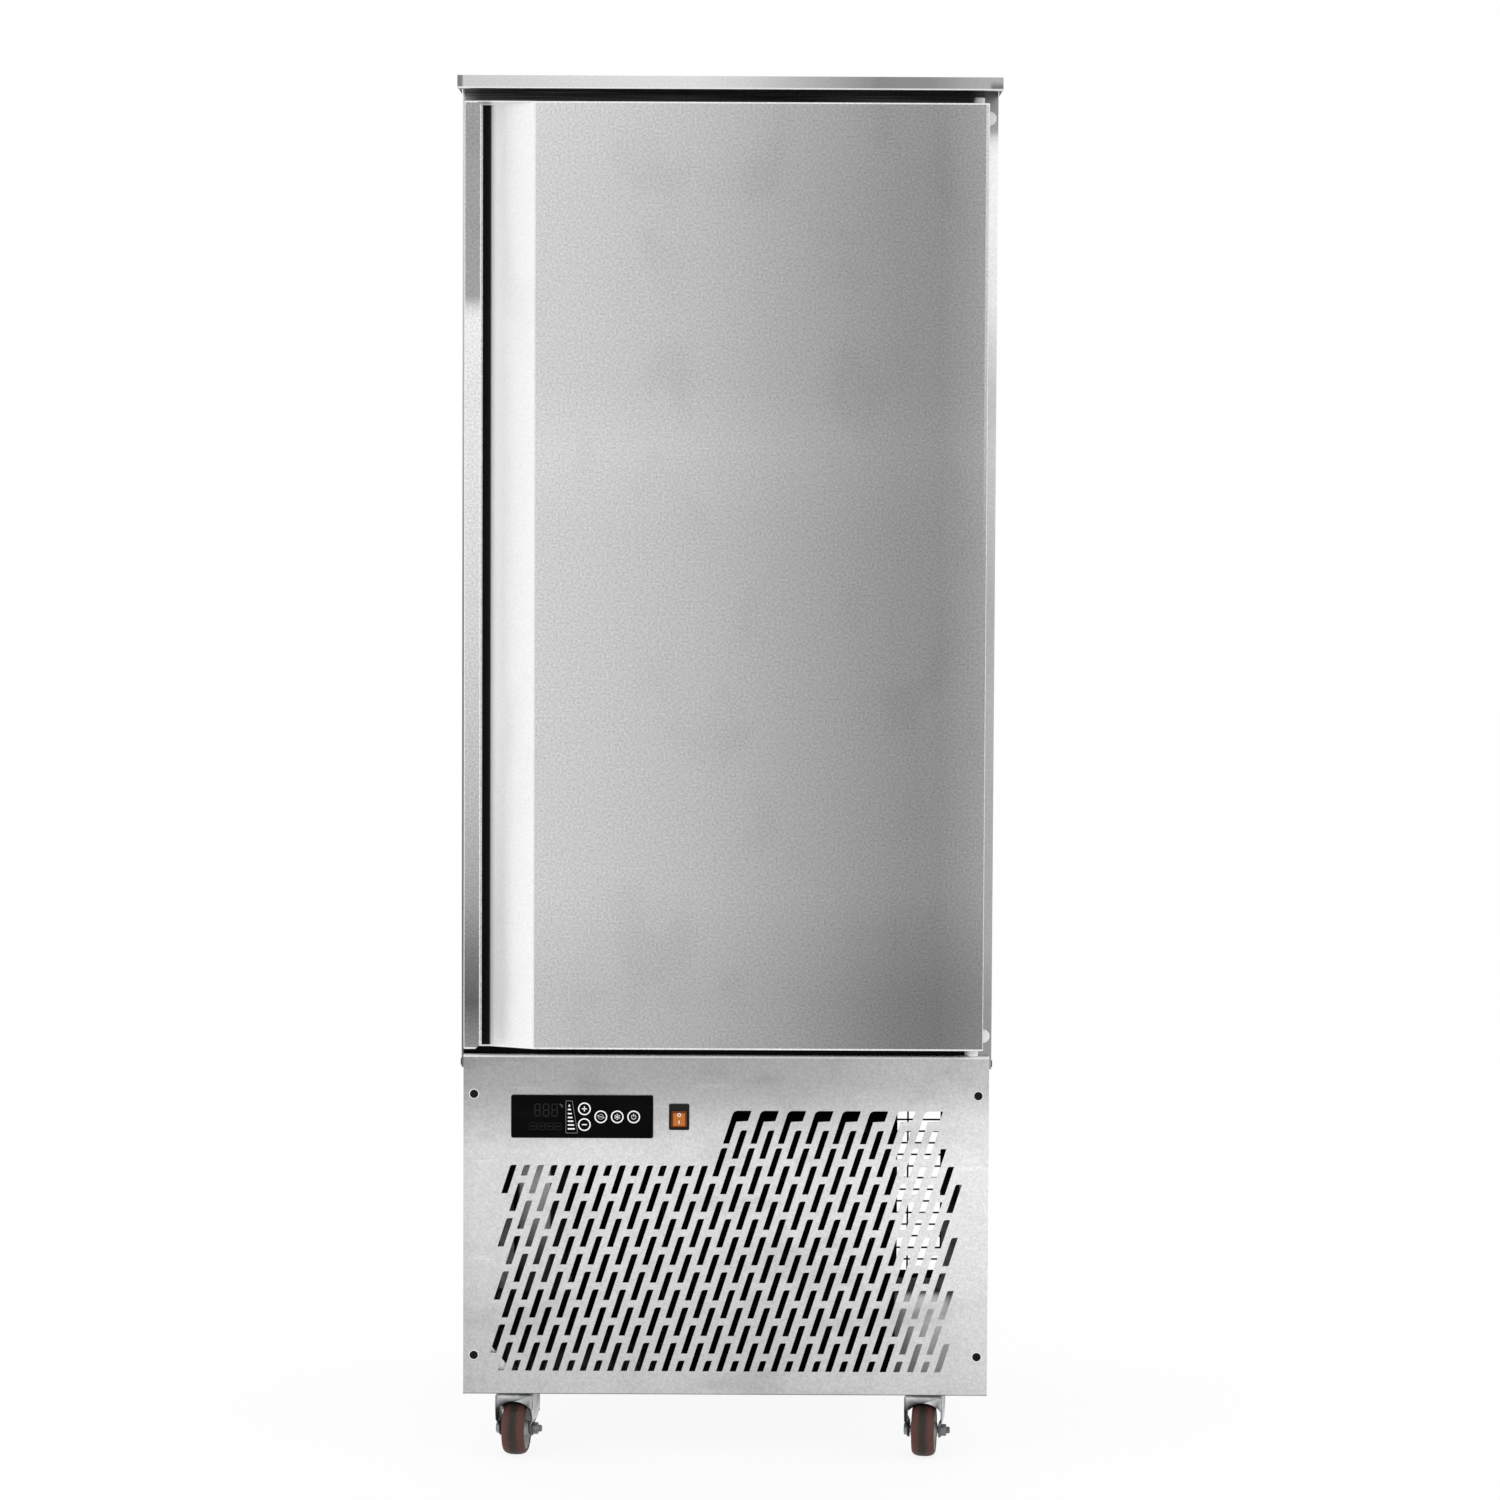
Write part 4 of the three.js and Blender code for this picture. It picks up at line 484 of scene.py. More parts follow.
def gloss_black():
    """Smooth black overlay of the controller with faint wiping marks."""
    finish = Finish("gloss black", 0.13, specular_ior_level=0.02)
    wiped = finish.place.noise(30.0, (0.4, 1, 1), 4.0)
    fine = finish.place.noise(900.0) - 0.5
    finish.feed("Base Color", (wiped.ease(0.45, 0.8) + fine * 0.4).between(
        (0.0022, 0.0022, 0.0024), (0.0045, 0.0045, 0.005)))
    finish.feed("Roughness", 0.12 + wiped * 0.12)
    return finish.bump(fine, 0.02, 0.15)


def printed(name, level):
    """Screen print, slightly uneven."""
    finish = Finish(name, 0.5, specular_ior_level=0.1)
    uneven = finish.place.noise(900.0, detail=2.0)
    return finish.feed("Base Color", (0.88 + uneven * 0.24) * tone(level)).bump(uneven, 0.01, 0.2)


def copper_tube():
    """Drawn copper that has tarnished in patches."""
    finish = Finish("copper tube", 0.3, 1.0)
    tarnish = finish.place.noise(30.0, (1, 1, 0.4), 4.0)
    fine = finish.place.noise(600.0) - 0.5
    finish.feed("Base Color", tarnish.ease(0.3, 0.75).between((0.62, 0.26, 0.15),
                                                              (0.28, 0.12, 0.08)))
    finish.feed("Roughness", 0.22 + tarnish * 0.3)
    return finish.bump(fine, 0.03, 0.3)


def cut_foam():
    """Rigid foam with open cells, yellowed unevenly."""
    finish = Finish("rigid foam", 0.95)
    cells = finish.place.add("ShaderNodeTexVoronoi", {}, {"Vector": finish.place, "Scale": 650.0})
    aged = finish.place.noise(9.0, detail=3.0)
    finish.feed("Base Color", (aged * 0.8 + cells * 0.3).between((0.78, 0.66, 0.34),
                                                                 (0.90, 0.84, 0.58)))
    return finish.bump(cells, 0.6, 0.6)


DOOR_STEEL = door_steel().material
PANEL_STEEL = panel_steel().material
COVER_STEEL = cover_steel().material
CASE_STEEL = case_steel().material
SHEET_STEEL = brushed("brushed cover sheet", 192, "z").material
LINER_STEEL = brushed("bright liner steel", 205, "x", 0.26, 0.05, 0.04, 0.08).material
ZINC = plated_zinc("zinc plating", 0.42, 0.64).material
# Lit and shaded copies of the zinc plating: painted light on the forks, painted shade on the axle
# bolts.
FORK_ZINC = plated_zinc("bright fork plating", 0.48, 0.78).material
AXLE_ZINC = plated_zinc("dull axle plating", 0.12, 0.30).material
HINGE_GREY = worn_paint("pale hinge plate", (0.82, 0.82, 0.82), (0.92, 0.92, 0.92), 0.42).material
BLACK_METAL = worn_paint("black enamel", (0.004, 0.004, 0.0045), (0.016, 0.016, 0.017), 0.5,
                         900.0, 0.0, 0.1, 0.18).material
BLACK_PLASTIC = worn_paint("black plastic", (0.005, 0.005, 0.005), (0.014, 0.014, 0.015),
                           0.48, shine=0.2).material
BLACK_SCREW = worn_paint("blackened screws", (0.003, 0.003, 0.003), (0.009, 0.009, 0.010),
                         0.4, 500.0, shine=0.12).material
GREY_PLASTIC = worn_paint("grey plastic", (0.13, 0.135, 0.14), (0.19, 0.195, 0.20), 0.5).material
HUB_GREY = worn_paint("grey wheel centre", (0.36, 0.36, 0.35), (0.52, 0.52, 0.51), 0.48,
                      500.0).material
GASKET = worn_paint("gasket rubber", (0.016, 0.016, 0.018), (0.035, 0.035, 0.038), 0.66,
                    300.0).material
ALUMINIUM = worn_paint("fin aluminium", (0.42, 0.43, 0.44), (0.60, 0.61, 0.62), 0.38, 400.0,
                       0.85).material
COPPER = copper_tube().material
FOAM = cut_foam().material
TYRE = tyre_rubber().material
AMBER = amber_lens().material
GLOSS = gloss_black().material
WHITE_PRINT = printed("white print", 250).material
DIM_PRINT = printed("grey print", 150).material
FAINT_PRINT = printed("unlit segments", 35).material


# ------------------------------------------------------------------ outlines and forms

def rounded(corners, steps=5):
    """A closed outline from corners (a, b, radius), each one rounded."""
    outline = []
    for i, (a, b, radius) in enumerate(corners):
        here = Vector((a, b))
        if not radius:
            outline.append((a, b))
            continue
        before = (Vector(corners[i - 1][:2]) - here).normalized()
        after = (Vector(corners[(i + 1) % len(corners)][:2]) - here).normalized()
        half = before.angle(after) / 2
        middle = here + (before + after).normalized() * radius / math.sin(half)
        arm = here + before * radius / math.tan(half) - middle
        turn = math.copysign(math.pi - 2 * half, after.x * before.y - after.y * before.x)
        for k in range(steps + 1):
            point = middle + Matrix.Rotation(turn * k / steps, 2) @ arm
            outline.append((point.x, point.y))
    return outline


def rectangle(a, b, radius=0.0, steps=5):
    return rounded([(a[0], b[0], radius), (a[1], b[0], radius), (a[1], b[1], radius),
                    (a[0], b[1], radius)], steps)


def circle(centre, radius, sides=32, start=0.0):
    return [(centre[0] + radius * math.cos(start + math.tau * k / sides),
             centre[1] + radius * math.sin(start + math.tau * k / sides)) for k in range(sides)]


def inset(outline, distance):
    """The outline moved inwards, where it runs anticlockwise."""
    moved = []
    for i, point in enumerate(outline):
        here = Vector(point)
        before = (here - Vector(outline[i - 1])).normalized()
        after = (Vector(outline[(i + 1) % len(outline)]) - here).normalized()
        mitre = Vector((-before.y - after.y, before.x + after.x))
        moved.append(tuple(here + mitre * distance / max(1 + before.dot(after), 0.2)))
    return moved


def lift(axis, a, b, height):
    return {"x": (height, a, b), "y": (a, height, b), "z": (a, b, height)}[axis]


def link(name, mesh):
    thing = bpy.data.objects.new(name, mesh)
    bpy.context.scene.collection.objects.link(thing)
    return thing


def settled(thing):
    """The object with its modifiers worked into a plain mesh."""
    graph = bpy.context.evaluated_depsgraph_get()
    mesh = bpy.data.meshes.new_from_object(thing.evaluated_get(graph))
    old, name = thing.data, thing.name
    bpy.data.objects.remove(thing)
    bpy.data.meshes.remove(old)
    mesh.name = name
    return link(name, mesh)


def fold_edges(thing, width):
    """Breaks the sharp edges of a piece."""
    bevel = thing.modifiers.new("broken edges", "BEVEL")
    bevel.width = width * MM
    bevel.segments = 2
    bevel.limit_method = "ANGLE"
    bevel.angle_limit = math.radians(32)
    return settled(thing)


def show(thing, finish, node=None, body=None, replaces=(), smooth=34):
    """Gives a piece its finish and body, and hides the CAD nodes that it stands for."""
    mesh = thing.data
    mesh.materials.clear()
    mesh.materials.append(finish)
    mesh.polygons.foreach_set("use_smooth", [True] * len(mesh.polygons))
    mesh.set_sharp_from_angle(angle=math.radians(smooth))
    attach(thing, body or BODY[node])
    if replaces:
        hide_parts(*replaces)
    return thing


class Form:
    """Closed shapes that together make one piece."""

    def __init__(self):
        self.work = bmesh.new()

    def add(self, points, faces):
        mesh = bpy.data.meshes.new("shape")
        mesh.from_pydata([Vector(point) * MM for point in points], [], faces)
        shape = bmesh.new()
        shape.from_mesh(mesh)
        bmesh.ops.remove_doubles(shape, verts=shape.verts, dist=2e-6)
        bmesh.ops.dissolve_limit(shape, angle_limit=0.002, verts=shape.verts, edges=shape.edges)
        bmesh.ops.recalc_face_normals(shape, faces=shape.faces)
        shape.to_mesh(mesh)
        shape.free()
        self.work.from_mesh(mesh)
        bpy.data.meshes.remove(mesh)
        return self

    def prism(self, axis, outline, span, holes=()):
        loops = [outline, *holes]
        caps = tessellate_polygon([[Vector((a, b, 0)) for a, b in loop] for loop in loops])
        points = [lift(axis, a, b, height) for height in span for loop in loops for a, b in loop]
        count = len(points) // 2
        faces = [list(cap) for cap in caps] + [[count + i for i in cap] for cap in caps]
        start = 0
        for loop in loops:
            size = len(loop)
            faces += [[start + i, start + (i + 1) % size, count + start + (i + 1) % size,
                       count + start + i] for i in range(size)]
            start += size
        return self.add(points, faces)

    def box(self, x, y, z):
        return self.prism("z", rectangle(x, y), z)

    def loft(self, rings, closed=False, capped=True):
        """A skin over rings of equally many points."""
        size = len(rings[0])
        points = [point for ring in rings for point in ring]
        faces = []
        for k in range(len(rings) if closed else len(rings) - 1):
            low, high = k * size, (k + 1) % len(rings) * size
            faces += [[low + i, low + (i + 1) % size, high + (i + 1) % size, high + i]
                      for i in range(size)]
        if capped and not closed:
            for start in (0, len(points) - size):
                ring = [Vector(point) for point in points[start:start + size]]
                faces += [[start + i for i in cap] for cap in tessellate_polygon([ring])]
        return self.add(points, faces)

    def lathe(self, axis, centre, profile, sides=40, closed=False):
        """A profile of (radius, distance along the axis) turned about it."""
        rings = []
        for radius, along in profile:
            ring = circle(centre, max(radius, 1e-6), sides)
            rings.append([lift(axis, a, b, along) for a, b in ring])
        return self.loft(rings, closed, not closed)

    def tube(self, path, radius, sides=10, closed=False):
        """A round bar along a path."""
        path = [Vector(point) for point in path]
        rings, across = [], None
        for i, point in enumerate(path):
            before = path[i - 1] if i or closed else point
            after = path[(i + 1) % len(path)] if i < len(path) - 1 or closed else point
            along = (after - before).normalized()
            across = across or along.orthogonal()
            across = (across - along * across.dot(along)).normalized()
            other = along.cross(across)
            rings.append([point + (across * math.cos(math.tau * k / sides)
                                   + other * math.sin(math.tau * k / sides)) * radius
                          for k in range(sides)])
        return self.loft(rings, closed)

    def surround(self, x, z, section, radius=0.0, steps=5):
        """A section of (outward, y) carried around a rectangle seen from the front."""
        outline = rectangle(x, z, max(radius, 1e-3), steps)
        rings = []
        for i, point in enumerate(outline):
            before = (Vector(point) - Vector(outline[i - 1]))
            after = (Vector(outline[(i + 1) % len(outline)]) - Vector(point))
            before, after = before.normalized(), after.normalized()
            mitre = Vector((before.y + after.y, -before.x - after.x)) / (1 + before.dot(after))
            rings.append([(point[0] + mitre.x * out, y, point[1] + mitre.y * out)
                          for out, y in section])
        return self.loft(rings, closed=True)

    def moved(self, matrix):
        bmesh.ops.transform(self.work, matrix=matrix, verts=self.work.verts)
        return self

    def thing(self, name, edge=0.0):
        mesh = bpy.data.meshes.new(name)
        self.work.to_mesh(mesh)
        self.work.free()
        made = link(name, mesh)
        return fold_edges(made, edge) if edge else made

    def piece(self, name, finish, node, edge=0.0, smooth=34):
        """The finished piece, in place of a CAD node."""
        return show(self.thing(name, edge), finish, node, replaces=[node], smooth=smooth)

    def extra(self, name, finish, node, edge=0.0, smooth=34):
        """A finished piece that a CAD node carries."""
        return show(self.thing(name, edge), finish, node, smooth=smooth)


def trimmed(node, finish, edge=0.0, smooth=34):
    """A merged copy of a CAD node with its edges broken, in its place."""
    form = Form()
    form.work.from_mesh(frame["nodes"][node].data)
    bmesh.ops.remove_doubles(form.work, verts=form.work.verts, dist=1e-5)
    bmesh.ops.dissolve_limit(form.work, angle_limit=0.01, verts=form.work.verts,
                             edges=form.work.edges)
    return form.piece(f"{node}_finished", finish, node, edge, smooth)


# ------------------------------------------------------------------ geometry node trees

def new_tree(name, **sizes):
    """A geometry tree with named inputs. Returns it, its inputs as values and its end node."""
    tree = bpy.data.node_groups.new(name, "GeometryNodeTree")
    tree.interface.new_socket("Geometry", in_out="INPUT", socket_type="NodeSocketGeometry")
    for label, kind in sizes.items():
        tree.interface.new_socket(label.replace("_", " "), in_out="INPUT",
                                  socket_type=f"NodeSocket{kind}")
    tree.interface.new_socket("Geometry", in_out="OUTPUT", socket_type="NodeSocketGeometry")
    start, end = tree.nodes.new("NodeGroupInput"), tree.nodes.new("NodeGroupOutput")
    return tree, {socket.name: Value(tree, socket) for socket in start.outputs}, end


def finish_tree(tree, end, geometry, finish):
    """Ends a tree in real geometry with its material."""
    real = geometry.add("GeometryNodeRealizeInstances", {}, {0: geometry})
    done = real.add("GeometryNodeSetMaterial", {}, {0: real, "Material": finish})
    tree.links.new(done.socket, end.inputs[0])


def grown(tree, name, points=(), vectors=None, numbers=None, **sizes):
    """Runs a tree on points, in millimetres, and returns the plain object."""
    mesh = bpy.data.meshes.new(name)
    mesh.from_pydata([Vector(point) * MM for point in points], [], [])
    for label, values in (vectors or {}).items():
        mesh.attributes.new(label, "FLOAT_VECTOR", "POINT").data.foreach_set(
            "vector", [part for value in values for part in value])
    for label, values in (numbers or {}).items():
        mesh.attributes.new(label, "INT", "POINT").data.foreach_set("value", values)
    thing = link(name, mesh)
    modifier = thing.modifiers.new("growth", "NODES")
    modifier.node_group = tree
    for item in tree.interface.items_tree:
        key = item.name.replace(" ", "_")
        if item.in_out == "INPUT" and key in sizes:
            modifier[item.identifier] = sizes[key]
    return settled(thing)


def named(value, label, kind="FLOAT_VECTOR"):
    return value.add("GeometryNodeInputNamedAttribute", {"data_type": kind}, {"Name": label})


def joined(first, *others):
    """Several geometries as one."""
    node = first.tree.nodes.new("GeometryNodeJoinGeometry")
    for value in reversed((first, *others)):
        first.tree.links.new(value.socket, node.inputs[0])
    return Value(first.tree, node.outputs[0])


def heads_tree():
    """A head on each point, turned to face the way that the point says."""
    tree, given, end = new_tree("fastener heads", Head="Object", Finish="Material")
    head = given["Head"].add("GeometryNodeObjectInfo", {}, {0: given["Head"]}, "Geometry")
    turn = head.add("FunctionNodeAlignRotationToVector", {"axis": "Z"},
                    {"Vector": named(head, "facing")})
    heads = head.add("GeometryNodeInstanceOnPoints", {}, {
        "Points": given["Geometry"], "Instance": head, "Rotation": turn})
    finish_tree(tree, end, heads, given["Finish"])
    return tree


def fins_tree():
    """A pack of thin upright fins at an even pitch."""
    tree, given, end = new_tree("fin pack", Count="Int", Start="Vector", Pitch="Vector",
                                Fin="Vector", Finish="Material")
    line = given["Count"].add("GeometryNodeMeshLine", {"mode": "OFFSET"}, {
        "Count": given["Count"], "Start Location": given["Start"], "Offset": given["Pitch"]})
    fin = line.add("GeometryNodeMeshCube", {}, {"Size": given["Fin"]})
    fins = line.add("GeometryNodeInstanceOnPoints", {}, {"Points": line, "Instance": fin})
    finish_tree(tree, end, fins, given["Finish"])
    return tree


def guard_tree():
    """Round wire rings at an even step, on spokes that reach past the last ring."""
    tree, given, end = new_tree(
        "wire guard", Rings="Int", First="Float", Step="Float", Wire="Float", Spokes="Int",
        Reach="Float", Centre="Vector", Finish="Material")
    index = given["Rings"].add("GeometryNodeInputIndex")
    loop = index.add("GeometryNodeCurvePrimitiveCircle", {}, {"Resolution": 48, "Radius": 1.0})
    marks = index.add("GeometryNodeMeshLine", {}, {"Count": given["Rings"], "Offset": (0, 0, 0)})
    rings = index.add("GeometryNodeInstanceOnPoints", {}, {
        "Points": marks, "Instance": loop, "Scale": given["First"] + given["Step"] * index})
    straight = index.add("GeometryNodeCurvePrimitiveLine", {}, {
        "Start": index.add("ShaderNodeCombineXYZ", {}, {0: given["First"] * 0.55}),
        "End": index.add("ShaderNodeCombineXYZ", {}, {0: given["Reach"]})})
    places = index.add("GeometryNodeMeshLine", {}, {"Count": given["Spokes"], "Offset": (0, 0, 0)})
    turn = index.add("ShaderNodeCombineXYZ", {}, {2: index * math.tau / given["Spokes"]})
    spokes = index.add("GeometryNodeInstanceOnPoints", {}, {
        "Points": places, "Instance": straight, "Rotation": turn})
    lines = index.add("GeometryNodeRealizeInstances", {}, {0: joined(rings, spokes)})
    section = index.add("GeometryNodeCurvePrimitiveCircle", {},
                        {"Resolution": 7, "Radius": given["Wire"]})
    wires = index.add("GeometryNodeCurveToMesh", {}, {
        "Curve": lines, "Profile Curve": section, "Fill Caps": True})
    placed = index.add("GeometryNodeTransform", {}, {
        0: wires, "Translation": given["Centre"], "Rotation": (math.pi / 2, 0, 0)})
    finish_tree(tree, end, placed, given["Finish"])
    return tree


def slots_tree():
    """A sheet pierced by an outline on each point, picked by the point's kind."""
    tree, given, end = new_tree("pierced sheet", Outlines="Collection", Width="Float",
                                Height="Float", Sheet="Float", Place="Vector",
                                Finish="Material")
    outlines = given["Outlines"].add("GeometryNodeCollectionInfo", {}, {
        0: given["Outlines"], "Separate Children": True, "Reset Children": True})
    cuts = outlines.add("GeometryNodeInstanceOnPoints", {}, {
        "Points": given["Geometry"], "Instance": outlines, "Pick Instance": True,
        "Instance Index": named(outlines, "kind", "INT")})
    real = cuts.add("GeometryNodeRealizeInstances", {}, {0: cuts})
    curves = cuts.add("GeometryNodeMeshToCurve", {}, {0: real})
    soft = cuts.add("GeometryNodeFilletCurve", {}, {0: curves, "Radius": named(cuts, "round",
                                                                               "FLOAT")})
    soft_node = soft.socket.node
    if "Mode" in soft_node.inputs:
        soft_node.inputs["Mode"].default_value = "Poly"
    else:
        soft_node.mode = "POLY"
    soft_node.inputs["Count"].default_value = 4
    border = cuts.add("GeometryNodeCurvePrimitiveQuadrilateral", {}, {
        "Width": given["Width"], "Height": given["Height"]})
    face = cuts.add("GeometryNodeFillCurve", {}, {0: joined(soft, border)})
    front = cuts.add("GeometryNodeExtrudeMesh", {}, {
        "Mesh": face, "Offset Scale": given["Sheet"], "Individual": False})
    back = cuts.add("GeometryNodeFlipFaces", {}, {0: face})
    sheet = cuts.add("GeometryNodeMergeByDistance", {}, {0: joined(front, back),
                                                         "Distance": 1e-6})
    placed = cuts.add("GeometryNodeTransform", {}, {
        0: sheet, "Translation": given["Place"], "Rotation": (math.pi / 2, 0, 0)})
    finish_tree(tree, end, placed, given["Finish"])
    return tree


HEADS, FINS, GUARD = heads_tree(), fins_tree(), guard_tree()


def cross_head(name, radius, height):
    """A pan head with a cross recess, standing on the origin."""
    arm, half = radius * 0.52, radius * 0.13
    cross = [(arm, -half), (arm, half), (half, half), (half, arm), (-half, arm), (-half, half),
             (-arm, half), (-arm, -half), (-half, -half), (-half, -arm), (half, -arm),
             (half, -half)]
    form = Form()
    form.lathe("z", (0, 0), [(radius, 0), (radius, height * 0.35), (radius * 0.93, height * 0.62),
                             (radius * 0.8, height * 0.8), (radius * 0.4, height * 0.8)], 20)
    form.prism("z", circle((0, 0), radius * 0.8, 20), (height * 0.72, height), [cross])
    return form.thing(name)


def hex_head(name, radius, height):
    """A hexagon head with chamfered corners on a thin washer."""
    rings = [(radius * 0.94, height * 0.15), (radius, height * 0.25), (radius, height * 0.85),
             (radius * 0.9, height)]
    form = Form()
    form.lathe("z", (0, 0), [(radius * 1.25, 0), (radius * 1.25, height * 0.14)], 20)
    form.loft([[lift("z", a, b, up) for a, b in circle((0, 0), r, 6)] for r, up in rings])
    return form.thing(name)


def fasteners(name, template, finish, node, places):
    """Heads at (point, facing) places on one node."""
    thing = grown(HEADS, name, [point for point, _ in places],
                  {"facing": [facing for _, facing in places]}, Head=template, Finish=finish)
    bpy.data.objects.remove(template)
    return show(thing, finish, node)


# ------------------------------------------------------------------ door

def door_plan(lip):
    """The door's outline from above, with its grip recess behind a lip of this width."""
    left, right, front, back = door_low.x, door_high.x, door_low.y, door_high.y
    return rounded([
        (left, back, 0), (left, front, 1.5), (left + lip, front, 1.3),
        (left + lip, front + LIP, 1.3), (left + LIP_SIDE, front + LIP, 0.4),
        (left + LIP_SIDE, front + GRIP_DEPTH, 4), (left + GRIP_FLOOR, front + GRIP_DEPTH, 3),
        (left + GRIP_RAMP, front, 2.5), (right, front, 3.2), (right, back, 0)], 6)


def door_pieces():
    """The pressed front with a plate over its recess, the inner face, gasket and foam."""
    wall = []
    cut = LIP_EDGE - STRIP_CORNER
    for z, lip in ((door_low.z + SKIN, cut), (door_low.z + STRIP_CORNER, LIP_EDGE),
                   (door_high.z - STRIP_CORNER, LIP_EDGE), (door_high.z - SKIN, cut)):
        outer = door_plan(lip)
        inner = inset(outer, SKIN)
        inner[0], inner[-1] = (inner[0][0], outer[0][1]), (inner[-1][0], outer[-1][1])
        wall.append([lift("z", a, b, z) for a, b in outer + inner[::-1]])
    form = Form().loft(wall)
    plan = door_plan(cut)
    for end, up in ((door_low.z, 1), (door_high.z, -1)):
        form.loft([[lift("z", a, b, end + up * at) for a, b in inset(plan, by)]
                   for at, by in ((0, 0.9), (0.25, 0.35), (SKIN, 0))])
    left, front = door_low.x, door_low.y
    form.prism("z", [(left + cut - 0.5, front + 0.3), (left + GRIP_RAMP - 1, front + 0.3),
                     (left + GRIP_FLOOR, front + GRIP_DEPTH + 0.5),
                     (left + LIP_SIDE - 0.5, front + GRIP_DEPTH + 0.5),
                     (left + LIP_SIDE - 0.5, front + LIP - 0.5),
                     (left + cut - 0.5, front + LIP - 0.5)], (door_high.z - SKIN, door_high.z))
    form.piece("door_front", DOOR_STEEL, "door_skin", smooth=28)

    low, high = extent("door_liner")
    flat = low.y + SKIN
    liner = Form().surround((low.x, high.x), (low.z, high.z),
                            [(0, low.y), (0, flat), (-30, flat), (-30, low.y)], 2, 4)
    liner.loft([[(x, y, z) for x, z in rectangle(
        (OPENING_X[0] + by, OPENING_X[1] - by), (OPENING_Z[0] + by, OPENING_Z[1] - by), 14, 6)]
        for y, by in ((up, RAISED_INSET + more) for up, more in (
            (flat - 0.6, -50), (flat, -50), (flat, -3), (flat + 1, -0.8), (flat + 6.4, 1),
            (flat + 8, 4)))])
    liner.piece("door_inner_face", LINER_STEEL, "door_liner", smooth=30)

    low, high = extent("door_gasket")
    section = [(-3, low.y), (-3, low.y + 5), (-0.6, low.y + 6), (0, low.y + 8.6),
               (-1.4, high.y - 0.3), (-4, high.y), (-16, high.y), (-18.6, high.y - 0.3),
               (-20, low.y + 8.6), (-19.4, low.y + 6), (-17, low.y + 5), (-17, low.y),
               (-12, low.y), (-11.4, low.y + 4), (-8.6, low.y + 4), (-8, low.y)]
    Form().surround((low.x, high.x), (low.z, high.z), section, 6, 5).piece(
        "magnetic_gasket", GASKET, "door_gasket", smooth=50)
    trimmed("door_insulation", FOAM)


# ------------------------------------------------------------------ cabinet

def case_pieces():
    """The folded case, its top cover, the chamber's lining and the trim around its mouth."""
    x, y = (case_low.x, case_high.x), (case_low.y, case_high.y)
    corner = 1.8
    outer = rounded([(MOUTH_X[0], y[0], 0), (x[0], y[0], corner), (x[0], y[1], corner),
                     (x[1], y[1], corner), (x[1], y[0], corner), (MOUTH_X[1], y[0], 0)][::-1], 5)
    inner = inset(outer, SKIN)
    inner[0], inner[-1] = (outer[0][0], inner[0][1]), (outer[-1][0], inner[-1][1])
    form = Form().prism("z", outer + inner[::-1], (BODY_BOTTOM, case_high.z))
    for z in ((BODY_BOTTOM, MOUTH_Z[0]), (MOUTH_Z[1], case_high.z)):
        form.box(MOUTH_X, (y[0], y[0] + SKIN), z)
    for z in ((BODY_BOTTOM, BODY_BOTTOM + SKIN), (case_high.z - SKIN, case_high.z)):
        form.box((x[0] + SKIN, x[1] - SKIN), (y[0] + SKIN, y[1] - SKIN), z)
    for side in (-1, 1):
        edge, inside = side * x[1], side * (x[1] - SKIN)
        fold = [(edge, y[1]), (edge, y[0] + 1), (edge - side * 0.6, y[0]),
                (edge - side * 3.2, y[0]), (edge - side * 3.2, y[0] + SKIN), (inside, y[0] + SKIN),
                (inside, y[1])]
        form.prism("z", fold, (case_low.z, BODY_BOTTOM))
    form.piece("case_skin", CASE_STEEL, "cabinet_shell", smooth=30)

    low, high = extent("top_cover")
    front, top, band, sheet = low.y, high.z, low.z, 1.5
    profile = rounded([
        (high.y, top - sheet, 0), (front + sheet, top - sheet, 0), (front + sheet, band + sheet, 0),
        (front + 14, band + sheet, 0), (front + 14, band, 0), (front, band, 1.4),
        (front, top, 1.4), (high.y, top, 0.6)], 4)
    form = Form().prism("x", profile, (low.x, high.x))
    for edge in (low.x, high.x - SKIN):
        form.box((edge, edge + SKIN), (front + sheet, case_low.y - GAP),
                 (band + sheet, top - sheet))
    form.piece("folded_top", COVER_STEEL, "top_cover", 0.25, 30)

    low, high = chamber_low, chamber_high
    x, z = (low.x + SKIN, high.x - SKIN), (low.z + SKIN, high.z - SKIN)
    cove = 12
    bend_start = high.y - SKIN - cove
    rings = [[(a, y, b) for a, b in rectangle(x, z, cove, 6)] for y in (low.y, bend_start)]
    for k in range(1, 7):
        bend = math.pi / 2 * k / 6
        by = cove * (1 - math.cos(bend))
        rings.append([(a, bend_start + cove * math.sin(bend), b) for a, b in rectangle(
            (x[0] + by, x[1] - by), (z[0] + by, z[1] - by), max(cove - by, 0.05), 6)])
    rings += [[(a, y, b) for a, b in rectangle((low.x, high.x), (low.z, high.z), cove, 6)]
              for y in (high.y, low.y)]
    Form().loft(rings + [rings[0]], capped=False).piece(
        "chamber_lining", LINER_STEEL, "inner_liner", smooth=40)
    trimmed("cabinet_insulation", FOAM)

    front, groove, back = mouth_low.y, mouth_low.y + 0.8, mouth_high.y
    Form().surround(OPENING_X, OPENING_Z, [
        (0, front), (0, back), (24.7, back), (24.7, groove), (23.9, front), (20, front),
        (18.8, groove), (17.2, groove), (16, front), (6, front), (4.8, groove), (3.2, groove),
        (2, front)], 0.4, 2).piece("mouth_trim", GREY_PLASTIC, "mouth_frame", smooth=40)
    for node in ("top_hinge_bracket", "bottom_hinge_bracket"):
        trimmed(node, HINGE_GREY, 0.7)


# ------------------------------------------------------------------ lower panel

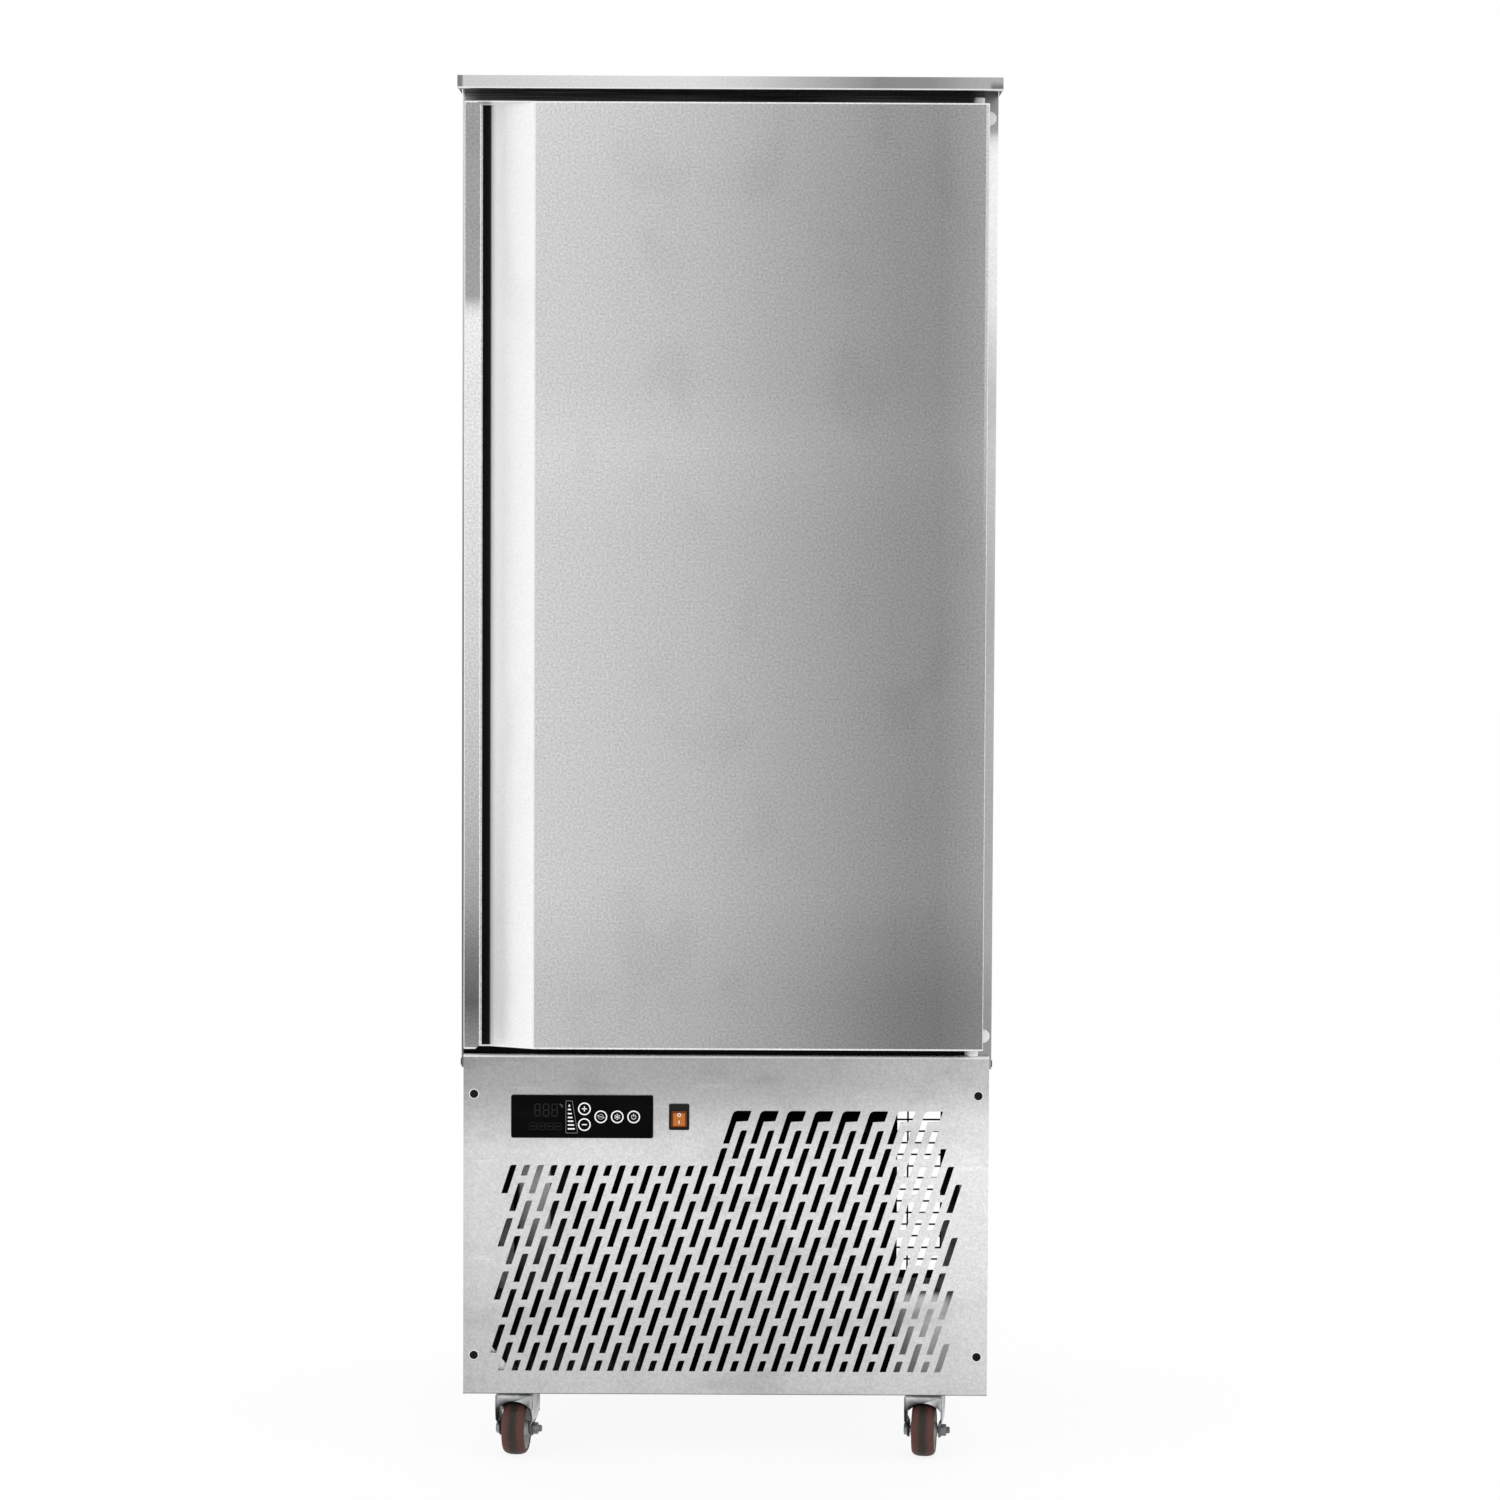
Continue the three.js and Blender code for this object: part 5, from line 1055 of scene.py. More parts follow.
def outline_object(group, name, corners):
    """A closed loop of edges from (x, z, radius) corners, for the piercing tree."""
    mesh = bpy.data.meshes.new(name)
    count = len(corners)
    mesh.from_pydata([Vector((x, z, 0)) * MM for x, z, _ in corners],
                     [(i, (i + 1) % count) for i in range(count)], [])
    mesh.attributes.new("round", "FLOAT", "POINT").data.foreach_set(
        "value", [radius * MM for _, _, radius in corners])
    group.objects.link(bpy.data.objects.new(name, mesh))


def slot_left(height):
    """Where a slot's left edge runs at a height above its middle."""
    return SLOT_LEAN * height - SLOT_WIDTH / 2


def leaning(bottom, top):
    """A slot between two heights, its upper left corner rounded."""
    return [(slot_left(bottom), bottom, 0.3), (slot_left(bottom) + SLOT_WIDTH, bottom, 0.3),
            (slot_left(top) + SLOT_WIDTH, top, 0.3), (slot_left(top), top, 4.0)]


def hooked():
    """A slot whose head runs on to the right."""
    throat = HOOK_TOP - HOOK_HEIGHT
    tip = slot_left(HOOK_TOP) + HOOK_WIDTH
    return [(slot_left(-HOOK_STEM), -HOOK_STEM, 0.3),
            (slot_left(-HOOK_STEM) + SLOT_WIDTH, -HOOK_STEM, 0.3),
            (slot_left(throat) + SLOT_WIDTH, throat, 0.6),
            (tip - SLOT_LEAN * HOOK_HEIGHT, throat + 1, 0.6), (tip, HOOK_TOP, 0.5),
            (slot_left(HOOK_TOP), HOOK_TOP, 7.5)]


def slot_places():
    """Where each slot goes and of which kind it is: the top row has only heads up to the raised
    field, the last row only feet, and hooked slots end the raised field."""
    places = []
    raised = FIRST_X - ROW_SHIFT + (RAISED_FROM + 1) * SLOT_STEP_X
    for row in range(LAST_ROW + 1):
        z = FIRST_Z - (row - 1) * SLOT_STEP_Z
        first = FIRST_X + (row - 1) * ROW_SHIFT - (row - 1) // 3 * SLOT_STEP_X
        for i in range(ROW_SLOTS - (row % 3 == 0)):
            x = first + i * SLOT_STEP_X
            cut_head = row == 0 and x <= raised - SLOT_WIDTH
            places.append((x, z, HEAD if cut_head else FOOT if row == LAST_ROW else WHOLE))
    for i in range(ROW_SLOTS - RAISED_FROM - 2):
        x = raised + SLOT_STEP_X - ROW_SHIFT + i * SLOT_STEP_X
        places.append((x, FIRST_Z + 2 * SLOT_STEP_Z, WHOLE))
        places.append((x - ROW_SHIFT, FIRST_Z + 3 * SLOT_STEP_Z, HOOK))
    return places


def pierced_face(screws):
    """The panel's flat face with its slots, screw holes and the two openings for the controls."""
    half = SLOT_HEIGHT / 2
    last_row = FIRST_Z - (LAST_ROW - 1) * SLOT_STEP_Z
    shapes = {
        WHOLE: ("whole", leaning(-half, half)),
        FOOT: ("foot", leaning(SLOT_BOTTOM - last_row, half)),
        HEAD: ("head", leaning(-half, half - SLOT_STEP_Z)),
        HOOK: ("hook", hooked()),
        SCREW: ("screw", [(a, b, 0) for a, b in circle((0, 0), 2.7, 16)]),
        CONTROLLER: ("controller", [(a, b, 1) for a, b in rectangle(*CONTROLLER_HOLE)]),
        SWITCH: ("switch", [(a, b, 1) for a, b in rectangle(*SWITCH_HOLE)])}
    group = bpy.data.collections.new("pierced outlines")
    for kind, (label, corners) in shapes.items():
        outline_object(group, f"outline_{kind}_{label}", corners)
    cuts = slot_places() + [(x, z, SCREW) for x, z in screws]
    cuts += [(CONTROLLER_X, CONTROLS_Z, CONTROLLER), (SWITCH_X, CONTROLS_Z, SWITCH)]
    middle_z = (panel_low.z + panel_high.z) / 2
    width, height = panel_high.x - panel_low.x, panel_high.z - panel_low.z
    face = grown(slots_tree(), "panel_face", [(x, z - middle_z, 0) for x, z, _ in cuts],
                 numbers={"kind": [kind for _, _, kind in cuts]}, Outlines=group,
                 Width=(width - 2 * PANEL_FOLD) * MM, Height=(height - 2 * PANEL_FOLD) * MM,
                 Sheet=PANEL_SHEET * MM, Finish=PANEL_STEEL,
                 Place=Vector((0, panel_low.y + PANEL_SHEET, middle_z)) * MM)
    for thing in list(group.objects):
        bpy.data.objects.remove(thing)
    bpy.data.collections.remove(group)
    return face


def panel_bend(radius):
    """The fold at the panel's rim, as (outward, y)."""
    turns = [math.pi / 2 * k / 5 for k in range(6)]
    return [(radius * math.sin(turn) - PANEL_FOLD, panel_low.y + PANEL_FOLD
             - radius * math.cos(turn)) for turn in turns]


def panel_pieces():
    """The slotted panel with its folded rim, and its screws on light rings."""
    screws = [(x, z) for x in PANEL_SCREWS_X for z in PANEL_SCREWS_Z]
    face = pierced_face(screws)
    rim = Form().surround(
        (panel_low.x, panel_high.x), (panel_low.z, panel_high.z),
        panel_bend(PANEL_FOLD) + [(0, panel_high.y), (-PANEL_SHEET, panel_high.y)]
        + panel_bend(PANEL_FOLD - PANEL_SHEET)[::-1])
    rim.work.from_mesh(face.data)
    bpy.data.objects.remove(face)
    rim.piece("slotted_panel", PANEL_STEEL, "grille_panel", smooth=30)
    fasteners("panel_screws", cross_head("panel_screw", 5.9, 2.6), BLACK_SCREW, "grille_panel",
              [((x, panel_low.y, z), (0, -1, 0)) for x, z in screws])
    rings = Form()
    for screw in screws:
        rings.lathe("y", screw, [(radius, panel_low.y + up) for radius, up in (
            (5.6, 0.2), (5.6, -0.5), (6.9, -0.4), (7.2, 0.2))], 32, True)
    rings.extra("panel_screw_rings", HINGE_GREY, "grille_panel")


# ------------------------------------------------------------------ controller and switch

def stroke(form, points, width, y, closed=False):
    """A printed line of even width through (x, z) points."""
    count = len(points)
    for i in range(count if closed else count - 1):
        a, b = Vector(points[i]), Vector(points[(i + 1) % count])
        along = (b - a).normalized() * width / 2
        across = Vector((-along.y, along.x))
        ends = [a - along * 0.4 - across, b + along * 0.4 - across, b + along * 0.4 + across,
                a - along * 0.4 + across]
        form.prism("y", [tuple(end) for end in ends], (y - PRINT, y))
    return form


def ring_print(form, centre, radius, width, y, start=0.0, turn=360.0):
    """A printed ring, or a part of one between two angles."""
    if turn == 360:
        inner = circle(centre, radius - width, 40)
        return form.prism("y", circle(centre, radius, 40), (y - PRINT, y), [inner])
    middle, steps = radius - width / 2, 14
    angles = [math.radians(start + turn * k / steps) for k in range(steps + 1)]
    return stroke(form, [(centre[0] + middle * math.cos(a), centre[1] + middle * math.sin(a))
                         for a in angles], width, y)


def controller_pieces():
    """The black controller: housing, unlit display, gauge and five keys."""
    low, high = extent("controller_case")
    x, z = (low.x, high.x), (low.z, high.z)
    keys = {name: tuple((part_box(name)[0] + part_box(name)[1]) / 2 / MM) for name in KEYS}
    wells = [circle((kx, kz), KEY_WELL, 40) for kx, _, kz in keys.values()]
    form = Form()
    form.prism("y", rectangle(x, z, 3, 6), (low.y, panel_low.y - GAP), wells)
    form.prism("y", rectangle((x[0] + 8.3, x[1] - 8.3), (z[0] + 8.3, z[1] - 8.3), 1, 3),
               (panel_low.y + 0.1, high.y))
    form.piece("controller_housing", GLOSS, "controller_case", 0.45)
    display_print(x[0], z[1], low.y)

    for name, (kx, _, kz) in keys.items():
        front, back = extent(name)[0].y, extent(name)[1].y
        cap = Form().lathe("y", (kx, kz), [
            (KEY_RADIUS - 0.3, back), (KEY_RADIUS, back - 0.3), (KEY_RADIUS, front + 0.2),
            (KEY_RADIUS - 0.05, front + PRINT)], 40)
        cap.piece(f"{name}_cap", GLOSS, name)
        symbol = ring_print(Form(), (kx, kz), KEY_RADIUS - 0.1, 1.7, front + PRINT)
        key_symbol(symbol, name, (kx, kz), front + PRINT)
        symbol.extra(f"{name}_mark", WHITE_PRINT, name)


def display_print(left, top, y):
    """The display's three digits and four signs, unlit, and the gauge with its outline, unit and
    drop, at places from the controller's upper left corner."""
    def at(right, down):
        return (left + right, top - down)

    width, step = 5.5, 8.4
    faint = Form()
    for digit in range(3):
        dx, dz = at(34.02 + digit * 11.99, 12.55)
        bars = [[(0, -step * k), (width, -step * k)] for k in range(3)]
        bars += [[(a, -1 - step * k), (a, 1 - step * (k + 1))]
                 for a in (-0.9, width + 0.9) for k in range(2)]
        for points in bars:
            stroke(faint, [(dx + a, dz + b) for a, b in points], 1.5, y)
    for right in (25.93, 37.64, 49.07, 60.5):
        a, b = at(right, 39.03), at(right + 9.2, 48.23)
        stroke(faint, [(a[0], a[1]), (b[0], a[1]), (b[0], b[1]), (a[0], b[1])], 0.7, y, True)
        stroke(faint, [(a[0] + 2.4, a[1] - 4.6), (b[0] - 2.4, a[1] - 4.6)], 1.6, y)
    faint.extra("unlit_segments", FAINT_PRINT, "controller_case")

    dim = Form()
    dx, dz = at(68.58, 13.1)
    ring_print(dim, (dx, dz), 0.8, 0.4, y)
    ring_print(dim, (dx + 2.6, dz - 2.2), 1.7, 0.6, y, 50, 260)
    stroke(dim, [at(76.39, 7.95), at(85.17, 7.95), at(92.84, 52.97), at(76.39, 52.97)], 0.45, y,
           True)
    dim.extra("gauge_outline", DIM_PRINT, "controller_case")

    marks = Form()
    for k, down in enumerate((20.07, 25.79, 31.23, 36.38, 41.68, 47.12)):
        a = at(79.46, down)
        stroke(marks, [a, (a[0] + 3.76 + k * 1.046, a[1])], 1.9, y)
    drop = at(81.13, 14.78)
    marks.prism("y", [(drop[0], drop[1] + 2.4), (drop[0] - 1.4, drop[1] - 0.5),
                      (drop[0], drop[1] - 1.9), (drop[0] + 1.4, drop[1] - 0.5)], (y - PRINT, y))
    marks.extra("controller_marks", WHITE_PRINT, "controller_case")


def key_symbol(form, name, centre, y):
    """Plus, minus, turning arrows, snow crystal or power mark on a key."""
    x, z = centre
    if name in ("key_up", "key_down"):
        stroke(form, [(x - 3.2, z), (x + 3.2, z)], 1.5, y)
    if name == "key_up":
        stroke(form, [(x, z - 3.2), (x, z + 3.2)], 1.5, y)
    if name == "key_cycle":
        for start in (20, 200):
            ring_print(form, centre, 3.9, 0.9, y, start, 130)
            end = math.radians(start + 138)
            tip = (x + 3.5 * math.cos(end), z + 3.5 * math.sin(end))
            for turn in (-150, -30):
                lean = end + math.pi / 2 + math.radians(turn + 90)
                stroke(form, [tip, (tip[0] + 1.7 * math.cos(lean), tip[1] + 1.7 * math.sin(lean))],
                       0.8, y)
        stroke(form, [(x - 1.4, z), (x + 1.4, z)], 0.8, y)
    if name == "key_freeze":
        for k in range(3):
            turn = math.pi * k / 3 + math.pi / 6
            dx, dz = math.cos(turn), math.sin(turn)
            stroke(form, [(x - 4 * dx, z - 4 * dz), (x + 4 * dx, z + 4 * dz)], 0.7, y)
            for side in (-1, 1):
                root = Vector((x + 2.6 * dx * side, z + 2.6 * dz * side))
                for lean in (-0.8, 0.8):
                    way = turn + lean + (0 if side > 0 else math.pi)
                    stroke(form, [tuple(root), (root.x + 1.4 * math.cos(way),
                                                root.y + 1.4 * math.sin(way))], 0.6, y)
    if name == "key_power":
        ring_print(form, centre, 3.6, 0.9, y, 125, 290)
        stroke(form, [(x, z + 0.4), (x, z + 4.2)], 0.9, y)


def switch_pieces():
    """The switch's frame and well, its tilted rocker, and the two marks laid on its halves."""
    low, high = extent("switch_case")
    rocker_low, rocker_high = extent("switch_rocker")
    well_x = (rocker_low.x - ROCKER_GAP, rocker_high.x + ROCKER_GAP)
    form = Form()
    form.prism("y", rectangle((low.x, high.x), (low.z, high.z), 2.2, 5),
               (low.y, panel_low.y - GAP), [rectangle(well_x, ROCKER_WELL_Z, 0.8, 3)])
    form.prism("y", rectangle((low.x + 1.5, high.x - 1.5), (low.z + 1.5, high.z - 1.5), 1, 3),
               (panel_low.y, high.y), [rectangle(well_x, ROCKER_WELL_Z)])
    form.piece("switch_frame", BLACK_PLASTIC, "switch_case", 0.6)

    pivot_z, tilt = sum(ROCKER_WELL_Z) / 2, math.radians(ROCKER_TILT)

    def tilted(y, z):
        """A point about the rocker's pivot, turned as the rocker stands."""
        return (ROCKER_PIVOT_Y + y * math.cos(tilt) + z * math.sin(tilt),
                pivot_z + z * math.cos(tilt) - y * math.sin(tilt))

    waist, end = (-2.6, 0.8), (-4.495, 11.126)
    arc = [(12 * math.cos(a), 12 * math.sin(a))
           for a in (math.radians(68 + 44 * k / 8) for k in range(9))]
    section = arc + [waist, (waist[0] + 0.2, 0), (waist[0], -waist[1])]
    section += [(y, -z) for y, z in reversed(arc)]
    Form().prism("x", [tilted(y, z) for y, z in section], (rocker_low.x, rocker_high.x)).piece(
        "amber_rocker", AMBER, "switch_rocker", 0.5)

    marks = Form()
    ring_print(marks, (SWITCH_X, 485.6), 2.6, 1.0, 0)
    stroke(marks, [(SWITCH_X, 473.8), (SWITCH_X, 477.6)], 1.3, 0)
    for vertex in marks.work.verts:
        side = 1 if vertex.co.z > pivot_z * MM else -1
        a, b = (tilted(y, z * side) for y, z in (waist, end))
        share = (vertex.co.z / MM - a[1]) / (b[1] - a[1])
        vertex.co.y += (a[0] + (b[0] - a[0]) * share - 0.05) * MM
    marks.extra("rocker_marks", WHITE_PRINT, "switch_rocker")


# ------------------------------------------------------------------ casters

def pressed_fork(axle, top):
    """A fork pressed from one sheet: crown, legs that turn in at the knee, an arched front and a
    web behind the wheel."""
    heights = (0, axle - 6, axle, axle + 4, axle + 9, axle + 10.5, axle + 12.5, axle + 14,
               axle + 20, axle + 27, axle + 34, axle + 42, top - FORK_BEND)

    def half(z):
        share = min(max((z - axle - 9) / 5, 0), 1)
        return FOOT_HALF + (FORK_HALF - FOOT_HALF) * share * share * (3 - 2 * share)

    edge = [(FORK_FRONT, axle + 29), (FORK_FRONT + 0.6, axle + 22), (FORK_FRONT + 2, axle + 14),
            (FORK_FRONT + 4.4, axle + 7), (FORK_FRONT + 7.2, axle + 2)]
    for step in range(11):
        turn = math.radians(190 + 14 * step)
        edge.append((-TRAIL + FORK_EYE * math.cos(turn), axle + FORK_EYE * math.sin(turn)))
    edge += [(4, axle + 4), (11, axle + 15), (18, axle + 22), (FORK_BACK, axle + 26)]
    points, faces, sides = [], [], []
    for y, bottom in edge:
        for inward in (0, FORK_SHEET):
            leg = [(half(max(z, bottom)) - inward, max(z, bottom)) for z in heights]
            centre = (FORK_HALF - FORK_BEND, top - FORK_BEND)
            radius = max(FORK_BEND - inward, 0.5)
            bend = [(centre[0] + radius * math.cos(math.pi / 2 * k / 4),
                     top - inward - radius + radius * math.sin(math.pi / 2 * k / 4))
                    for k in range(5)]
            path = leg + bend
            path += [(-x, z) for x, z in reversed(path)]
            sides.append(len(points))
            points += [(x, y, z) for x, z in path]
    size = sides[1]
    for station in range(len(edge)):
        outer, inner = sides[2 * station], sides[2 * station + 1]
        if station in (0, len(edge) - 1):
            faces += [[outer + i, outer + i + 1, inner + i + 1, inner + i] for i in range(size - 1)]
        if station < len(edge) - 1:
            step = 2 * size
            for start in (outer, inner):
                faces += [[start + i, start + i + 1, start + step + i + 1, start + step + i]
                          for i in range(size - 1)]
            faces += [[outer + i, inner + i, inner + step + i, outer + step + i]
                      for i in (0, size - 1)]
    form = Form().add(points, faces)
    reach, rise = FORK_HALF - FORK_SHEET, top - ARCH_TOP
    radius = (reach ** 2 + ARCH_DROP ** 2) / (2 * ARCH_DROP)
    spread = math.asin(reach / radius)
    front = rounded([(-FORK_HALF, rise - ARCH_DROP, 0), (-FORK_HALF, top, FORK_BEND),
                     (FORK_HALF, top, FORK_BEND), (FORK_HALF, rise - ARCH_DROP, 0)], 5)
    front += [(radius * math.sin(turn), rise - radius + radius * math.cos(turn))
              for turn in (spread * (1 - k / 12) for k in range(25))]
    form.prism("y", front, (FORK_FRONT, FORK_FRONT + FORK_SHEET))
    inside = FORK_HALF - 0.5
    web = [(-inside, top - 1), (-inside, top - WEB_SIDE), (-WEB_FLAT, top - WEB_MIDDLE),
           (WEB_FLAT, top - WEB_MIDDLE), (inside, top - WEB_SIDE), (inside, top - 1)]
    return form.prism("y", web, (FORK_BACK - FORK_SHEET, FORK_BACK - 0.2))


def fork_shade(place, top):
    """How much painted shade a point of the fork's inside gets, about its swivel axis."""
    x, y, z = place
    if y > FORK_BACK - 4 and z < top - 0.9:
        return 1
    below = min(max((top - (5 if x < 0 else 11) - z) / 4, 0), 1)
    return below * (1 if x < 0 else 0.75 * (x < FORK_HALF - 1.2))


def caster_pieces(corner):
    """One caster: plate with its raceway and bolts, fork, tyre, wheel centre and axle bolt."""
    low, high = extent(f"{corner}_caster_plate")
    middle = (low + high) / 2
    swivel = Matrix.Translation(Vector((middle.x, middle.y, 0)) * MM) @ Matrix.Rotation(
        TURN, 4, "Z")
    back = swivel.inverted()
    tyre_low, tyre_high = extent(f"{corner}_caster_tyre")
    wheel = (-TRAIL, (tyre_low.z + tyre_high.z) / 2)

    under = high.z - PLATE_SHEET
    plate = Form().prism("z", rectangle((low.x, high.x), (low.y, high.y), 6, 4), (under, high.z))
    plate.lathe("z", (middle.x, middle.y), [(radius, low.z + up) for radius, up in (
        (23, 0), (23, 2.4), (26.5, 3.6), (26.5, 5.6), (22, 7.4), (22, 8.9))], 40)
    plate.piece(f"{corner}_top_plate", ZINC, f"{corner}_caster_plate", 0.5)
    fasteners(f"{corner}_plate_bolts", hex_head("plate_bolt", 6.4, 4.6), ZINC,
              f"{corner}_caster_plate", [((middle.x + a, middle.y + b, under), (0, 0, -1))
                                         for a in PLATE_BOLTS for b in PLATE_BOLTS])

    top = extent(f"{corner}_caster_fork")[1].z
    fork = pressed_fork(wheel[1], top).moved(swivel).thing(f"{corner}_pressed_fork", 0.6)
    # Painted shade on the fork's inside and its web, kept in the shade attribute.
    fork.data.attributes.new("shade", "FLOAT", "POINT").data.foreach_set(
        "value", [fork_shade(back @ vertex.co / MM, top) for vertex in fork.data.vertices])
    show(fork, FORK_ZINC, f"{corner}_caster_fork", replaces=[f"{corner}_caster_fork"])

    drop = ((8, 16), (5.4, 16), (3.4, 14.6), (1.9, 12.4), (0.8, 9.4), (0.2, 6), (0, 2.4))
    crown = [(wheel[1] - down, -out) for down, out in drop]
    tread = Form().lathe("x", wheel, [
        *crown, *((radius, -out) for radius, out in reversed(crown)), crown[0]],
        56, True).moved(swivel).thing(f"{corner}_tread")
    tread.data.attributes.new("across", "FLOAT", "POINT").data.foreach_set(
        "value", [(back @ vertex.co).x / (TREAD_HALF * MM) for vertex in tread.data.vertices])
    show(tread, TYRE, f"{corner}_caster_tyre", replaces=[f"{corner}_caster_tyre"], smooth=50)

    half = [(9.6, 18.5), (10.6, 17.6), (11, 12), (13, 8.4), (17, 7.2), (22, 8), (25.8, 12.6),
            (26.6, 15), (29, 15)]
    hub = Form().lathe("x", wheel, [
        (5.4, -18.5), *((radius, -out) for radius, out in half), *reversed(half), (5.4, 18.5),
        (5.4, -18.5)], 48, True).moved(swivel)
    hub.piece(f"{corner}_wheel_centre", HUB_GREY, f"{corner}_caster_hub", smooth=40)

    bolt = Form()
    bolt.lathe("x", wheel, [(4.4, -24), (5, -23.4), (5, 31.3), (4.6, 32), (4.6, 35.2),
                            (3.6, 36.3)], 24)
    seat = 23.3
    for side, deep in ((-1, 5.0), (1, 8.0)):
        rings = [(7.9, 0), (8.5, 0.7), (8.5, deep - 1), (7.6, deep)]
        bolt.loft([[lift("x", a, b, side * (seat + up)) for a, b in circle(
            wheel, radius, 6, math.pi / 6)] for radius, up in rings])
        bolt.lathe("x", wheel, [(9.6, side * (seat - 0.1)), (9.6, side * (seat + 0.9))], 24)
    for k in range(3):
        bolt.lathe("x", wheel, [(radius, 32.2 + 1.2 * k + up) for radius, up in (
            (4.2, 0), (4.95, 0.6), (4.2, 1.2))], 20)
    bolt.moved(swivel).piece(f"{corner}_axle_bolt", AXLE_ZINC, f"{corner}_caster_axle", smooth=30)


# ------------------------------------------------------------------ chamber and compartment

def fan(node, finish, radius):
    """Swept and twisted blades on a domed hub."""
    low, high = extent(node)
    x, y, z = (low + high) / 2
    form = Form().lathe("y", (x, z), [
        (0, y - HUB_HALF), (13, y - HUB_HALF + 0.4), (22, y - HUB_HALF + 2.4),
        (HUB_RADIUS, y - HUB_HALF + 7), (HUB_RADIUS, y + HUB_HALF),
        (HUB_RADIUS - 3, y + HUB_HALF), (SHAFT_BORE, y + HUB_HALF - 4)], 40)
    for k in range(BLADES):
        turn = math.tau * k / BLADES
        rings = []
        for step in range(9):
            share = step / 8
            r = HUB_RADIUS - 2 + (radius - HUB_RADIUS + 2) * share
            chord = 15 + 27 * share ** 0.8
            pitch = math.radians(38 - 14 * share)
            sweep = 0.2 * share * share - 0.05
            ring = []
            for side in (1, -1):
                for j in range(9):
                    t = (j / 4 - 1) * side
                    round_tip = 1 - 0.25 * max(share - 0.75, 0) * 4 * t * t
                    across = t * chord * math.cos(pitch) * round_tip
                    bow = (1 - t * t) * 2.6 - 1.3
                    angle = turn + sweep + across / r
                    place = y + t * chord * math.sin(pitch) * round_tip + bow + side * 0.75
                    ring.append((x + r * math.cos(angle), place, z + r * math.sin(angle)))
            rings.append(ring)
        form.loft(rings)
    form.piece(f"{node}_wheel", finish, node, smooth=45)


def coil(node, finish, count, fin, core_y, core_z, rows):
    """Fins of a thickness between end plates, with rows of three tubes through them."""
    low, high = extent(node)
    first, last = low.x + 4, high.x - 4
    fins = grown(FINS, f"{node}_fins", Count=count, Finish=finish,
                 Start=Vector((first, sum(core_y) / 2, sum(core_z) / 2)) * MM,
                 Pitch=Vector(((last - first) / (count - 1), 0, 0)) * MM,
                 Fin=Vector((fin, core_y[1] - core_y[0], core_z[1] - core_z[0])) * MM)
    show(fins, finish, node, replaces=[node])
    form = Form()
    for edge in (low.x, high.x - 2):
        form.box((edge, edge + 2), (low.y, high.y), (low.z, high.z))
    step = (core_z[1] - core_z[0]) / rows
    for row in range(rows):
        for lane in range(3):
            y = core_y[0] + (core_y[1] - core_y[0]) * (lane + 0.5) / 3
            z = core_z[0] + step * (row + 0.5)
            form.tube([(low.x + 1, y, z), (high.x - 1, y, z)], 4.2, 8)
    form.extra(f"{node}_plates_and_tubes", finish, node)


def inner_pieces():
    """What the chamber holds: racks, fan cover with its guards, fans, motors and coil."""
    for node in ("left_rack", "right_rack"):
        trimmed(node, LINER_STEEL, 0.3)
    low, high = extent("fan_cover")
    centres = [sum(extent(node), Vector()) / 2 for node in (
        "upper_evaporator_fan", "lower_evaporator_fan")]
    form = Form()
    holes = [circle((c.x, c.z), FAN_HOLE, 64) for c in centres]
    form.prism("y", rectangle((low.x, high.x), (low.z, high.z), 3, 4), (low.y, low.y + 1.5), holes)
    form.surround((low.x, high.x), (low.z, high.z), [
        (0, low.y + 1), (0, high.y), (-1.5, high.y), (-1.5, low.y + 1)], 3, 4)
    for c in centres:
        form.lathe("y", (c.x, c.z), [(FAN_HOLE + out, low.y + up) for out, up in (
            (1, 0), (3.5, 0.9), (3.5, 10), (1.5, 10), (-0.5, 1))], 64, True)
    form.piece("fan_cover_sheet", LINER_STEEL, "fan_cover", smooth=30)
    for label, c in zip(("upper", "lower"), centres):
        guard = grown(GUARD, f"{label}_fan_guard", Rings=9, First=26 * MM, Step=12.4 * MM,
                      Wire=1.3 * MM, Spokes=6, Reach=(FAN_HOLE + 2) * MM, Finish=ZINC,
                      Centre=Vector((c.x, low.y + 1.4, c.z)) * MM)
        show(guard, ZINC, "fan_cover")
        fan(f"{label}_evaporator_fan", ALUMINIUM, 120)
        motor(f"{label}_evaporator_motor", c)
    rim = [((x, low.y, z), (0, -1, 0)) for x in (low.x + 12, high.x - 12)
           for z in (low.z + 14, low.z + 400, high.z - 400, high.z - 14)]
    fasteners("fan_cover_screws", cross_head("cover_screw", 4, 2), ZINC, "fan_cover", rim)
    low, high = extent("evaporator_coil")
    coil("evaporator_coil", ALUMINIUM, 96, 0.4, (high.y - 100, high.y),
         (low.z + 10, high.z - 10), 22)


